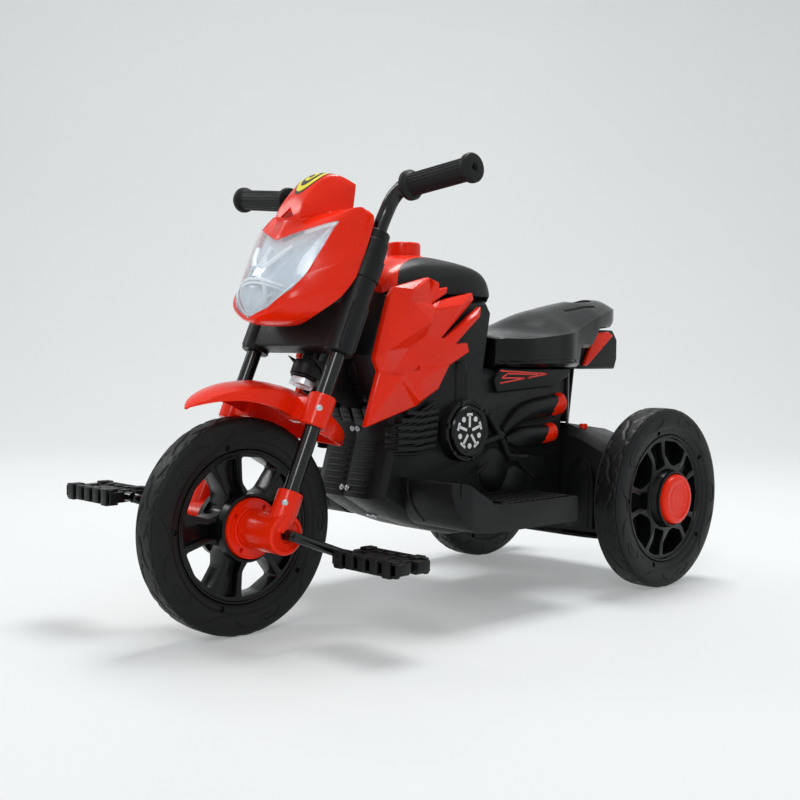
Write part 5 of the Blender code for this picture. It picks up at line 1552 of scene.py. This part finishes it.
def set_back(keys, distance, pinch=1.0):
    """Corners of the cage moved back and pinched towards the middle."""
    picked = {}
    for key in keys:
        x, y, z = COWL[key]
        picked[key] = (x * pinch, y + distance, LENS_MIDDLE_Z + (z - LENS_MIDDLE_Z) * pinch)
    return picked


def lens_prism(name, grow):
    """The lens outline as seen from the front, a little larger or smaller, through the cowl's face."""
    half = [(x, z) for x, y, z in set_back(LENS_EDGE.split(), 0, 1 + grow).values()]
    outline = half + [(-x, z) for x, z in half[-2:0:-1]]
    bm = bmesh.new()
    loft(bm, [[at(x, y, z) for x, z in outline] for y in (-50, 110)])
    return piece_from(bm, name)


class RIDEON_OT_cowl(bpy.types.Operator):
    """Builds the headlight cowl, its lens, reflector and label"""

    bl_idname = "rideon.cowl"
    bl_label = "Headlight cowl"

    def execute(self, context):
        cowl = caged("cowl_moulded", COWL, COWL_FACES, 3, COWL_CREASES)
        crown = cowl.copy()
        crown.data = cowl.data.copy()
        crown.data.name = "crown"
        walled(cowl, 2.6)
        recess = bmesh.new()
        rings = [[at(x, y, z) for x, z in ((-13, 501.5), (13, 501.5), (0, 514))] for y in (62, 79)]
        loft(recess, rings)
        carved(cowl, piece_from(recess, "recess"))
        line = bmesh.new()
        block(line, (-21, 60, -0.6), (21, 73, 0.6), Matrix.Translation(at(0, 0, 498.0)))
        carved(cowl, piece_from(line, "slot_line"))
        carved(cowl, lens_prism("lens_hole", 0.004))
        for sign in (-1, 1):
            here = fork_matrix(sign * 0.081, 0, 0) @ UPRIGHT
            rod = piece_from(turned([(200, 0), (200, 19.8), (400, 19.8), (400, 0)], steps=48,
                matrix=here), "rod")
            carved(cowl, rod)
        dressed(bevelled(cowl, 0.5, 2, 55), "steering", "red_plastic", "headlight_cowl")
        lens = walled(caged("lens_clear", COWL, LENS_FACES + LENS_SKIRT, 3), 2.0)
        lens = bevelled(carved(lens, lens_prism("lens_region", 0.0), "INTERSECT"), 0.4, 2, 50)
        dressed(lens, "steering", "clear_lens", "headlight_lens")
        self.reflector()
        self.label(crown)
        bpy.data.objects.remove(crown, do_unlink=True)
        return {"FINISHED"}

    def reflector(self):
        """A metallised bowl under an arched bar, with three bars fanned out above it."""
        back = walled(caged("reflector_back", set_back(COWL, 13), LENS_FACES + LENS_SKIRT, 3), 1.2)
        back = carved(back, lens_prism("reflector_region", -0.04), "INTERSECT")
        pieces = [back]
        bowl = Matrix.Translation(at(0, 33, 403)) @ Matrix.Rotation(math.radians(-96), 4, "Z")
        profile = [(-8, 0), (-8, 6), (-3, 12), (4, 19), (9, 24), (10.5, 24.5), (6, 25.5), (-4, 20),
            (-10, 8), (-10, 0)]
        pieces.append(piece_from(turned(profile, steps=48, matrix=bowl), "bowl"))
        bm = bmesh.new()
        for x in (-34, 0, 34):
            route = [(x * 0.35, 33, 438), (x * 0.65, 41, 449), (x, 50 + abs(x) * 0.16, 462)]
            tube(bm, [at(*p) for p in route], 0.0036, 10)
        for drop, wide in ((0, 50), (4.5, 46)):
            arch = [at(x, 20 + 0.010 * x * x, 424 - drop - 0.0062 * x * x) for x in range(-wide, wide + 1, 4)]
            tube(bm, arch, 0.0018, 10)
        for sign in (-1, 1):
            for step in range(4):
                low = at(sign * (6 + step * 6), 17 + step * 3, 386 + step * 5)
                tube(bm, [low, low + at(sign * 9, 4, 9) - at(0, 0, 0)], 0.0009, 8)
        for inset, drop in ((0.94, 5), (0.86, 8)):
            corners = list(set_back("b4 b3 b2 b1 tip".split(), drop, inset).values())
            edge = smooth(corners + [(-x, y, z) for x, y, z in corners[-2::-1]], 5)
            tube(bm, [at(*p) for p in edge], 0.0014, 8)
        pieces.append(piece_from(bm, "bars"))
        whole = joined("reflector_metallised", *pieces)
        dressed(whole, "steering", "silver_reflector", "headlight_reflector")

    def label(self, crown):
        """A shield-shaped label with plain chevrons, laid on the crown of the cap."""
        skin = bmesh.new()
        skin.from_mesh(crown.data)
        surface = BVHTree.FromBMesh(skin)
        skin.free()
        outline = [(-33, 1.5), (-30, 7), (-22, 12.5), (-9, 17.5), (6, 20), (20, 19), (25, 16.5), (27, 12)]
        layers = (
            ("cap_label_border", "black_print", 1.0, 1.0, 0.3),
            ("cap_label_band", "yellow_print", 0.88, 0.9, 0.5),
            ("cap_label_field", "black_print", 0.60, 0.62, 0.7),
            ("cap_label_chevron", "yellow_print", 0.34, 0.40, 0.9),
            ("cap_label_core", "black_print", 0.14, 0.22, 1.1),
        )
        for name, look, tall, wide, lift in layers:
            bm = bmesh.new()
            rings = []
            for along, half in smooth(outline, 5):
                ring = [label_point(surface, k / 6 * half * wide, along * tall, lift) for k in range(-6, 7)]
                rings.append(ring)
            loft(bm, rings, closed=False, caps=False)
            made = piece_from(bm, name, 60)
            if made.data.polygons[0].normal.z < 0:
                made.data.flip_normals()
            walled(made, 0.5)
            dressed(made, "steering", look)


# The label is laid on from ahead and above
LABEL_AIM = Vector((0, 0.5, -0.866))
LABEL_MIDDLE = at(0, 112, 556)


def label_point(surface, across, along, lift):
    """Drops a point of the flat label, in millimetres, on the crown."""
    climb = Vector((0, 0.866, 0.5))
    start = LABEL_MIDDLE + Vector((across, 0, 0)) / 1000 + climb * along / 1000 - LABEL_AIM * 0.05
    hit, normal, index, distance = surface.ray_cast(start, LABEL_AIM)
    if hit is None:
        raise RuntimeError("the label runs past the cap")
    return hit - LABEL_AIM * lift / 1000


# Body


def both_sides(piece, look, *nodes, body="body"):
    """Finishes a left-hand piece and its right-hand twin."""
    other = twin(piece, piece.name.replace("left", "right"))
    dressed(other, body, look, *(node.replace("left", "right") for node in nodes))
    dressed(piece, body, look, *nodes)


def upright(bm, outline, low, high):
    """Adds an upright prism from (X, Y) points in metres."""
    return loft(bm, [[Vector((x, y, z)) for x, y in outline] for z in (low, high)])


# Tank in millimetres: distance behind the front axle, top, shoulder height and half width
TANK_ROWS = [
    (182, 428, 424, 56),
    (200, 450, 433, 64),
    (250, 466, 442, 68),
    (320, 464, 446, 68),
    (360, 454, 444, 64),
    (385, 439, 432, 54),
    (396, 423, 420, 40),
]
TANK_BASE = 414.4
# Edge of the red trim seen from above: distance behind the axle and half width
TRIM_EDGE = [(170, 75), (192, 69), (215, 53), (250, 41), (290, 31), (320, 18), (334, 0)]


def tank_solid(name):
    bm = bmesh.new()
    rings = []
    for y, top, shoulder, half in smooth(TANK_ROWS, 8):
        half = min(half, 68)
        crown = [(half, shoulder - 12), (half - 3.5, shoulder - 2), (half * 0.8, (shoulder + top) / 2)]
        crown += [(half * 0.42, top - 2), (0, top)]
        section = [(0, TANK_BASE), (half, TANK_BASE)] + smooth(crown, 4)
        section += [(-x, z) for x, z in section[-2:0:-1]]
        rings.append([at(x, y, z) for x, z in section])
    loft(bm, rings)
    return piece_from(bm, name)


def trim_cutter(grow):
    half = [((x + (grow if x else 0)) / 1000, FRONT_Y + (y + (0 if x else grow)) / 1000) for y,
        x in smooth(TRIM_EDGE, 4)]
    outline = half + [(-x, y) for x, y in half[-2::-1]]
    bm = bmesh.new()
    upright(bm, outline, 0.3, 0.6)
    return piece_from(bm, "trim_cutter")


class RIDEON_OT_tank(bpy.types.Operator):
    """Builds the black tank cover, its red front trim and the fuel cap"""

    bl_idname = "rideon.tank"
    bl_label = "Tank"

    def execute(self, context):
        cover = bevelled(carved(tank_solid("tank_moulded"), trim_cutter(0.4)), 1.0, 3, 35)
        dressed(cover, "body", "black_plastic", "tank_cover")
        trim = bevelled(carved(tank_solid("tank_trim_moulded"), trim_cutter(0), "INTERSECT"), 1.2, 3, 35)
        here = Matrix.Translation(at(0, 272, 0)) @ UPRIGHT
        pad = [(452, 0), (452, 27), (464, 27), (466, 25.5), (466, 0)]
        trim = joined("tank_trim_moulded", trim, piece_from(turned(pad, steps=64, matrix=here), "pad"))
        dressed(trim, "body", "red_plastic", "tank_front_trim")
        profile = [(460.3, 0), (460.3, 23), (480.5, 23), (482.8, 22.2), (484, 20.4), (484, 18.8)]
        profile += [(483, 18.0), (482.8, 0)]
        cap = piece_from(turned(profile, steps=96, matrix=here), "fuel_cap_turned")
        dressed(cap, "body", "red_plastic", "fuel_cap")
        return {"FINISHED"}


class RIDEON_OT_fairings(bpy.types.Operator):
    """Rounds the folds and edges of the red side fairings"""

    bl_idname = "rideon.fairings"
    bl_label = "Side fairings"

    def execute(self, context):
        fairing = from_node("side_fairing_left", "fairing_moulded_left")
        fairing = bevelled(fairing, 1.6, 3, 9)
        bm = bmesh.new()
        middle = at(83, 224, 318)
        bmesh.ops.create_cone(
            bm,
            cap_ends=True,
            segments=20,
            radius1=0.0032,
            radius2=0.0032,
            depth=0.012,
            matrix=Matrix.Translation(middle) @ Matrix.Rotation(math.pi / 2, 4, "Y"),
        )
        fairing = carved(fairing, piece_from(bm, "screw_well"))
        both_sides(fairing, "red_plastic", "side_fairing_left")
        return {"FINISHED"}


# Seat in millimetres: distance behind the front axle, half width, top and side height
SEAT_ROWS = [
    (392, 60, 365, 357),
    (402, 72, 366, 358),
    (432, 86, 366, 358),
    (468, 88, 372, 360.5),
    (503, 88, 389, 364),
    (530, 88, 399, 367.5),
    (560, 78, 406, 374),
    (606, 66, 415, 387),
    (640, 58, 420, 396),
    (690, 42, 423, 406),
    (714, 28, 420, 408),
]
# The seat's underside: it stands on the deck, then steps up over the tail
SEAT_BASE = [(392, 318.3), (560, 318.3), (568, 346.3), (610, 346.3), (640, 375.3), (690, 379.3), (714, 388.3)]


def along(rows, where):
    """Straight interpolation in a list of (place, value)."""
    low = max((row for row in rows if row[0] <= where), default=rows[0])
    high = min((row for row in rows if row[0] > where), default=rows[-1])
    share = (where - low[0]) / max(high[0] - low[0], 0.001)
    return low[1] + (high[1] - low[1]) * min(share, 1.0)


def seat_moulded():
    bm = bmesh.new()
    rings = []
    for y, half, top, side in smooth(SEAT_ROWS, 6):
        base = along(SEAT_BASE, y)
        crown = [(half * 0.97, side + 0.8), (half * 0.80, side + (top - side) * 0.28)]
        crown += [(half * 0.55, side + (top - side) * 0.62), (half * 0.25, top - (top - side) * 0.08),
            (0, top)]
        wall = [(0, base), (half * 0.92, base), (half, base + 5), (half, (base + side) / 2), (half, side)]
        section = wall + smooth(crown, 3)
        section += [(-x, z) for x, z in section[-2:0:-1]]
        rings.append([at(x, y, z) for x, z in section])
    loft(bm, rings)
    seat = piece_from(bm, "seat_moulded")
    bm = bmesh.new()
    for sign in (-1, 1):
        line = [(y, half) for y, half, top, side in SEAT_ROWS]
        route = [at(sign * (along(line, y) + 0.6), y, 327 + (y - 392) * 0.006) for y in range(396, 552, 6)]
        tube(bm, route, 0.0016, 8)
    seat = carved(seat, piece_from(bm, "groove"))
    bm = bmesh.new()
    block(bm, (-18, 0, 402), (18, 50, 470), Matrix.Translation(at(0, 623, 0)))
    slot = bevelled(piece_from(bm, "slot"), 9, 5)
    seat = carved(seat, slot)
    bm = bmesh.new()
    climb = Matrix.Rotation(math.radians(15), 4, "X")
    for sign in (-1, 1):
        across = sorted((sign * 31, sign * 37))
        block(bm, (across[0], 0, -9), (across[1], 76, 24), Matrix.Translation(at(0, 580, 396)) @ climb)
    grooves = bevelled(piece_from(bm, "finger_grooves"), 2.4, 3)
    return bevelled(carved(seat, grooves), 1.2, 3, 40)


class RIDEON_OT_seat(bpy.types.Operator):
    """Builds the saddle and the tail with its red strips"""

    bl_idname = "rideon.seat"
    bl_label = "Seat and tail"

    def execute(self, context):
        dressed(seat_moulded(), "body", "gloss_black_plastic", "seat")
        tail = bevelled(from_node("tail_block", "tail_moulded"), 1.2, 3)
        dressed(tail, "body", "black_plastic", "tail_block")
        strip = bevelled(from_node("tail_strip_left", "tail_strip_moulded_left"), 0.8, 3)
        both_sides(strip, "red_plastic", "tail_strip_left")
        return {"FINISHED"}



def face_matrix(first, second):
    """A frame on the front face: X across, Y out of the face, Z up it."""
    low, high = at(0, *first), at(0, *second)
    up = (high - low).normalized()
    out = Vector((1, 0, 0)).cross(up)
    out = out if out.y < 0 else -out
    across = out.cross(up)
    turned_to = Matrix((across, out, up)).transposed().to_4x4()
    turned_to.translation = low
    return turned_to, (high - low).length * 1000


def front_mouldings():
    """Raised bricks, their ribs, and the ribbed belly on the front of the body's left half."""
    bm = bmesh.new()
    for first, second in (((158, 301), (148, 327)), ((175, 276), (160, 297)), ((187, 248), (178, 271))):
        here, length = face_matrix(first, second)
        flip = 1 if (here @ Vector((1, 0, 0)) - here.translation).x > 0 else -1
        for low, high in ((3, 21), (23.5, 41)):
            across = sorted((flip * low, flip * high))
            block(bm, (across[0], -2, 0), (across[1], 2.6, length), here)
            for k in range(3):
                z = length * (0.22 + 0.28 * k)
                block(bm, (across[0] + 2.5, 1, z - 0.9), (across[1] - 2.5, 3.4, z + 0.9), here)
    for k in range(9):
        share = k / 8
        y, z = 189 - 19 * share, 222 - 62 * share
        here, length = face_matrix((y - 0.6, z - 2), (y, z))
        flip = 1 if (here @ Vector((1, 0, 0)) - here.translation).x > 0 else -1
        across = sorted((flip * 5, flip * 42))
        block(bm, (across[0], -2, -1.4), (across[1], 1.8, 1.4), here)
    return bevelled(piece_from(bm, "front_bricks_left"), 0.7, 2)


def side_mouldings():
    """Cylinder fins, the branching pipe and its round joints on the left of the body."""
    bm = bmesh.new()
    for k in range(10):
        start, end = (184 + 0.2 * k, 243 - 3.6 * k), (262 - 0.8 * k, 275 - 6.9 * k)
        middle = ((start[0] + end[0]) / 2, (start[1] + end[1]) / 2 - 3.2)
        route = [at(72.5, *p) for p in smooth([start, middle, end], 6)]
        tube(bm, route, lambda t: 0.0027 * (0.55 + 0.45 * min(1, 9 * t, 9 * (1 - t))), 10)
    for route in (
        [(368, 255), (380, 240), (394, 223)],
        [(349, 214), (370, 217), (394, 223)],
        [(394, 223), (404, 208), (414, 194), (450, 190.5)],
    ):
        tube(bm, [at(69.5, *p) for p in smooth(route, 5)], 0.0056, 14)
    for y, z, r in ((394, 223, 9.5), (368, 255, 6.6), (349, 214, 6.6), (414, 194, 7.5), (450, 190.5, 6.0)):
        bmesh.ops.create_uvsphere(
            bm, u_segments=20, v_segments=12, radius=r / 1000, matrix=Matrix.Translation(at(67, y, z))
        )
    fins = piece_from(bm, "engine_ribs_left")
    return fins


def lower_mouldings():
    """The wide pipe over the engine cover, and the domes and block low on the body's side."""
    bm = bmesh.new()
    tube(bm, [at(60.5, 318, z) for z in (262, 300, 326)], 0.0130, 40)
    tube(bm, [at(60.5, 318, z) for z in (262, 270, 271)], 0.0142, 40)
    for y, z, r in ((385, 178, 33), (429, 153, 29)):
        here = Matrix.Translation(at(62, y, z)) @ Matrix.Diagonal((0.36, 1, 1, 1))
        bmesh.ops.create_uvsphere(bm, u_segments=48, v_segments=24, radius=r / 1000, matrix=here)
    outline = [(426, 199), (488, 188), (496, 162), (470, 160), (436, 182)]
    prism(bm, [(FRONT_Y + y / 1000, z / 1000) for y, z in outline], 0.060, 0.0705)
    tube(bm, [at(73, 342, 174), at(71.5, 368, 189)], 0.0016, 10)
    return bevelled(piece_from(bm, "side_bulges_left"), 1.6, 3, 40)


# Exhausts in millimetres: distance behind the axle, height, half height and half width
EXHAUST_UPPER = [(398, 229, 4, 4), (425, 248, 13, 11), (460, 258, 15, 13), (500, 262.5, 15, 13)]
EXHAUST_LOWER = [(404, 218, 4, 4), (430, 220, 13, 11), (455, 221, 14, 13), (480, 221.5, 13, 13)]


def oval(y, z, high, wide, lean=0.0, sides=40):
    """One ring of an exhaust; a lean pushes its top back and its bottom forward."""
    angles = [2 * math.pi * k / sides for k in range(sides)]
    return [
        at(70 + wide * math.cos(a), y + lean * high * math.sin(a), z + high * math.sin(a)) for a in angles
    ]


JOINT_LEAN = 0.95


def exhausts():
    bm = bmesh.new()
    for rows in (EXHAUST_UPPER, EXHAUST_LOWER):
        whole = smooth(rows, 8)
        rings = []
        for i, (y, z, high, wide) in enumerate(whole):
            rings.append(oval(y, z, high + 0.4, wide + 0.4, JOINT_LEAN * i / (len(whole) - 1)))
        y, z, high, wide = rows[-1]
        rings.append(oval(y + 5, z + 0.4, high * 0.90, wide * 0.90, JOINT_LEAN))
        loft(bm, rings)
    return piece_from(bm, "exhausts_left")


def exhaust_tip(name, rows):
    """The red end piece: it starts slanted behind the pipe and ends in a rolled, open mouth."""
    y, z, high, wide = rows[-1]
    steps = [(0.3, 0, -0.6), (3, 0.3, -0.2), (12, 1.0, 0.9), (20, 2.2, 1.2), (25, 2.8, 0.6), (26, 3.0, -1.0)]
    steps += [(26, 3.0, -4.0), (20, 2.2, -5.5), (8, 1, -6)]
    bm = bmesh.new()
    rings = []
    for i, (out, lift, grow) in enumerate(steps):
        lean = JOINT_LEAN * max(0.0, 1 - out / 22)
        rings.append(oval(y + out, z + lift, high + grow, wide + grow, lean))
    loft(bm, rings)
    return piece_from(bm, name)


class RIDEON_OT_body(bpy.types.Operator):
    """Builds the body halves with their engine mouldings, exhausts and panels"""

    bl_idname = "rideon.body"
    bl_label = "Body and engine"

    def execute(self, context):
        shell = from_node("body_shell_left", "body_half_moulded_left")
        corner = bmesh.new()
        plan = [(70, 545), (36, 592), (36, 640), (120, 640), (120, 545)]
        upright(corner, [(x / 1000, FRONT_Y + y / 1000) for x, y in plan], 0.2325, 0.330)
        shell = carved(shell, piece_from(corner, "rear_corner"))
        wall = bmesh.new()
        plan = [(70, 545), (36, 592), (33.5, 590), (67.5, 543)]
        upright(wall, [(x / 1000, FRONT_Y + y / 1000) for x, y in plan], 0.2325, 0.3298)
        shell = joined("body_half_moulded_left", shell, piece_from(wall, "corner_wall"))
        shell = bevelled(shell, 0.9, 2, 32)
        both_sides(shell, "black_plastic", "body_shell_left")
        for detail in (front_mouldings(), side_mouldings(), lower_mouldings(), exhausts()):
            both_sides(detail, "black_plastic")
        for label, rows in (("upper", EXHAUST_UPPER), ("lower", EXHAUST_LOWER)):
            tip = exhaust_tip(f"exhaust_end_{label}_left", rows)
            both_sides(tip, "red_plastic", f"exhaust_tip_{label}_left")
        neck = from_node("neck_bracket", "neck_moulded")
        bm = bmesh.new()
        outline = [(93, 333), (150, 308), (172, 299), (178, 264), (150, 269), (117, 287), (110, 316)]
        for low, high in ((-0.0235, -0.0195), (0.0195, 0.0235)):
            prism(bm, [(FRONT_Y + y / 1000, z / 1000) for y, z in outline], low, high)
        neck = joined("neck_moulded", bevelled(neck, 1.2, 2), bevelled(piece_from(bm, "cheeks"), 1.0, 2))
        dressed(neck, "body", "black_plastic", "neck_bracket")
        panel = bevelled(from_node("side_panel_left", "side_panel_moulded_left"), 0.8, 3)
        both_sides(panel, "black_plastic", "side_panel_left")
        both_sides(panel_stripes(), "red_print")
        self.engine_cover()
        out = Vector((0, -0.97, -0.25))
        low = Vector((0, -0.6, -0.8))
        seam = [(at(5, 187.5, 238), out), (at(5, 170, 163), Vector((0, -0.95, 0.3))),
            (at(5, 219, 121.5), low)]
        seam += [(Vector((-p.x, p.y, p.z)), aim) for p, aim in seam]
        fasteners("seam_screws", "body", seam)
        return {"FINISHED"}

    def engine_cover(self):
        """The round cover: two rings, a dished face and a generic five-armed print."""
        centre = at(0, 315, 234)
        profile = [(78, 0), (78, 40.8), (80.5, 40.8), (82, 39.2), (82, 36.4), (80.4, 35.4), (80.4, 34)]
        profile += [(84.4, 34), (86.3, 32.6), (86.3, 28.6), (84.9, 27.2), (84.6, 0)]
        cover = piece_from(turned(profile, centre, 96), "engine_cover_turned_left")
        lug = bmesh.new()
        tube(lug, [centre + Vector((0.076, 0, 0.0375)), centre + Vector((0.0835, 0, 0.0375))], 0.0035, 16)
        lugs = grown(
            bevelled(piece_from(lug, "lugs"), 0.5), "round_axle", "gloss_black_plastic",
            count=6, centre=centre, start_angle=0.3,
        )
        both_sides(joined("engine_cover_turned_left", cover, lugs), "gloss_black_plastic",
            "engine_cover_left")
        bm = bmesh.new()
        low = Matrix.Translation(centre)
        block(bm, (84.4, -1.8, 5.5), (85.3, 1.8, 21.5), low)
        block(bm, (84.4, -5.4, 20.5), (85.3, 5.4, 24.0), low)
        dot = Matrix.Rotation(math.radians(36), 4, "X")
        tube(bm, [low @ dot @ Vector((x, 0, 0.0195)) for x in (0.0844, 0.0853)], 0.0036, 20)
        arms = grown(
            piece_from(bm, "arms"), "round_axle", "white_print", count=5, centre=centre, start_angle=0.0
        )
        arms.name = "engine_print_left"
        both_sides(arms, "white_print")


def panel_stripes():
    """Plain angular lines printed along the panel under the seat."""
    bm = bmesh.new()
    lines = [[(388, 313.5), (492, 308.5), (388, 296.5)],
        [(470, 307.5), (404, 309.5), (390, 303.5), (452, 302.8)]]
    for line in lines:
        for (y0, z0), (y1, z1) in zip(line, line[1:]):
            way = Vector((y1 - y0, z1 - z0)).normalized() * 0.9
            side = Vector((-way.y, way.x))
            corners = [(y0 - side.x, z0 - side.y), (y1 - side.x, z1 - side.y)]
            corners += [(y1 + side.x, z1 + side.y), (y0 + side.x, z0 + side.y)]
            prism(bm, [(FRONT_Y + y / 1000, z / 1000) for y, z in corners], 0.0735, 0.0743)
    return piece_from(bm, "panel_stripes_left")


# Footboard in millimetres. From the side, behind the axle and up: its lip, its underside and its tray
BOARD_LIP = [(206, 170), (208, 178), (226, 176.5), (241, 167.5), (257, 159), (269, 151.7), (285, 147),
    (441, 146)]
BOARD_LOW = [(443, 140), (443, 115), (438, 112.3), (305, 112.5), (244, 115), (222, 126), (210, 148)]
BOARD_TRAY = [(214, 200), (214, 162), (222, 148), (240, 143.8), (437, 143.8), (437, 200)]
# From above, across and behind the axle: the round front corner
BOARD_PLAN = [(66.3, 203), (138, 203), (156, 207), (165, 216), (168, 230), (168, 444), (66.3, 444)]
BOARD_BEAD = [(80, 207, 177), (80, 206, 162), (84, 212, 142), (92, 224, 124)]


def moulded_board(name):
    """The left footboard: a tray whose lip rises in a curve to the toe guard."""
    parts = []
    for outline, low, high in ((smooth(BOARD_LIP, 4) + smooth(BOARD_LOW, 3), 66.3, 168),
        (BOARD_TRAY, 70, 164)):
        bm = bmesh.new()
        prism(bm, [(FRONT_Y + y / 1000, z / 1000) for y, z in outline], low / 1000, high / 1000)
        parts.append(piece_from(bm, name))
    bm = bmesh.new()
    upright(bm, [(x / 1000, FRONT_Y + y / 1000) for x, y in BOARD_PLAN], 0.100, 0.190)
    board = carved(parts[0], piece_from(bm, "plan"), "INTERSECT")
    return bevelled(carved(board, parts[1]), 1.3, 3)


class RIDEON_OT_footboards(bpy.types.Operator):
    """Builds the footboards with their toe guards and treads"""

    bl_idname = "rideon.footboards"
    bl_label = "Footboards"

    def execute(self, context):
        board = moulded_board("footboard_moulded_left")
        bm = bmesh.new()
        tube(bm, [at(*p) for p in smooth(BOARD_BEAD, 5)], 0.0015, 8)
        board = joined("footboard_moulded_left", board, piece_from(bm, "bead"))
        both_sides(board, "black_plastic", "footboard_left")
        bm = bmesh.new()
        block(bm, (74, 312, 144), (156, 316, 147.2), Matrix.Translation(Vector((0, FRONT_Y, 0))))
        bar = bevelled(piece_from(bm, "tread"), 0.8)
        bars = grown(bar, "row", "black_plastic", count=11, step=(0, 0.0115, 0))
        bm = bmesh.new()
        for x in (74, 100, 126, 152):
            block(bm, (x, 300, 144), (x + 4, 434, 146.4), Matrix.Translation(Vector((0, FRONT_Y, 0))))
        rails = bevelled(piece_from(bm, "rails"), 0.8)
        both_sides(joined("footboard_tread_left", bars, rails), "black_plastic")
        return {"FINISHED"}


class RIDEON_OT_housing(bpy.types.Operator):
    """Rounds the rear axle housing, adds its arches, and rounds the bushes, the stem with its nut and the
    power button
    """

    bl_idname = "rideon.housing"
    bl_label = "Rear housing"

    def execute(self, context):
        housing = from_node("rear_axle_housing", "housing_moulded")
        for v in housing.data.vertices:
            behind = (v.co.y - FRONT_Y) * 1000
            share = max(0.0, min(1.0, (v.co.z * 1000 - 195) / 30))
            v.co.z -= max(0.0, behind - 600) / 1000 * 0.24 * share
        housing = bevelled(housing, 2.0, 3, 25)
        dressed(housing, "body", "black_plastic", "rear_axle_housing")
        bm = bmesh.new()
        for grow, out in ((0, 2.0), (-7, 3.6)):
            arch = [(70 - grow, 84), (70 - grow, 150), (78 - grow * 0.7, 176 + grow * 0.8), (96, 188 + grow)]
            arch += [(112 + grow * 0.7, 176 + grow * 0.8), (118 + grow, 150), (118 + grow, 84)]
            rings = [
                [Vector((x / 1000, FRONT_Y + y / 1000, z / 1000)) for x, z in smooth(arch, 3)]
                for y in (560, 545.4 - out)
            ]
            loft(bm, rings)
        arches = bevelled(piece_from(bm, "housing_arch_left"), 1.0, 2)
        both_sides(arches, "black_plastic")
        for node in ("upper_steering_bush", "lower_steering_bush"):
            dressed(bevelled(from_node(node, node + "_turned"), 0.3), "body", "black_plastic", node)
        dressed(bevelled(from_node("stem_nut", "stem_nut_cut"), 0.6), "steering", "zinc_steel", "stem_nut")
        stem = bevelled(from_node("steering_stem", "steering_stem_turned"), 0.6)
        dressed(stem, "steering", "zinc_steel", "steering_stem")
        button = bevelled(from_node("power_button", "power_button_moulded"), 0.8, 3)
        dressed(button, "power_switch", "red_plastic", "power_button")
        return {"FINISHED"}


class RIDEON_PT_panel(bpy.types.Panel):
    """Lists the sizes, the colours and the steps in the sidebar"""

    bl_idname = "RIDEON_PT_panel"
    bl_label = "Ride-on motorcycle"
    bl_space_type = "VIEW_3D"
    bl_region_type = "UI"
    bl_category = "Ride-on"

    def draw(self, context):
        layout = self.layout
        for group in (context.scene.ride_on_sizes, context.scene.ride_on_colours):
            box = layout.box()
            for key in group.__annotations__:
                box.prop(group, key)
        for operator in OPERATORS:
            layout.operator(operator.bl_idname)


OPERATORS = [
    RIDEON_OT_finishes,
    RIDEON_OT_wheels,
    RIDEON_OT_hubs,
    RIDEON_OT_pedals,
    RIDEON_OT_fork,
    RIDEON_OT_steering_head,
    RIDEON_OT_bars,
    RIDEON_OT_cowl,
    RIDEON_OT_tank,
    RIDEON_OT_fairings,
    RIDEON_OT_seat,
    RIDEON_OT_body,
    RIDEON_OT_footboards,
    RIDEON_OT_housing,
    RIDEON_OT_stage,
]


def register():
    for kind in (RideOnColours, RideOnSizes, *OPERATORS, RIDEON_PT_panel):
        bpy.utils.register_class(kind)
    bpy.types.Scene.ride_on_colours = bpy.props.PointerProperty(type=RideOnColours)
    bpy.types.Scene.ride_on_sizes = bpy.props.PointerProperty(type=RideOnSizes)


def unregister():
    del bpy.types.Scene.ride_on_sizes
    del bpy.types.Scene.ride_on_colours
    for kind in (RIDEON_PT_panel, *reversed(OPERATORS), RideOnSizes, RideOnColours):
        bpy.utils.unregister_class(kind)


def main():
    """Builds everything in order."""
    register()
    for operator in OPERATORS:
        family, step = operator.bl_idname.split(".")
        getattr(getattr(bpy.ops, family), step)()


if __name__ == "__main__":
    main()
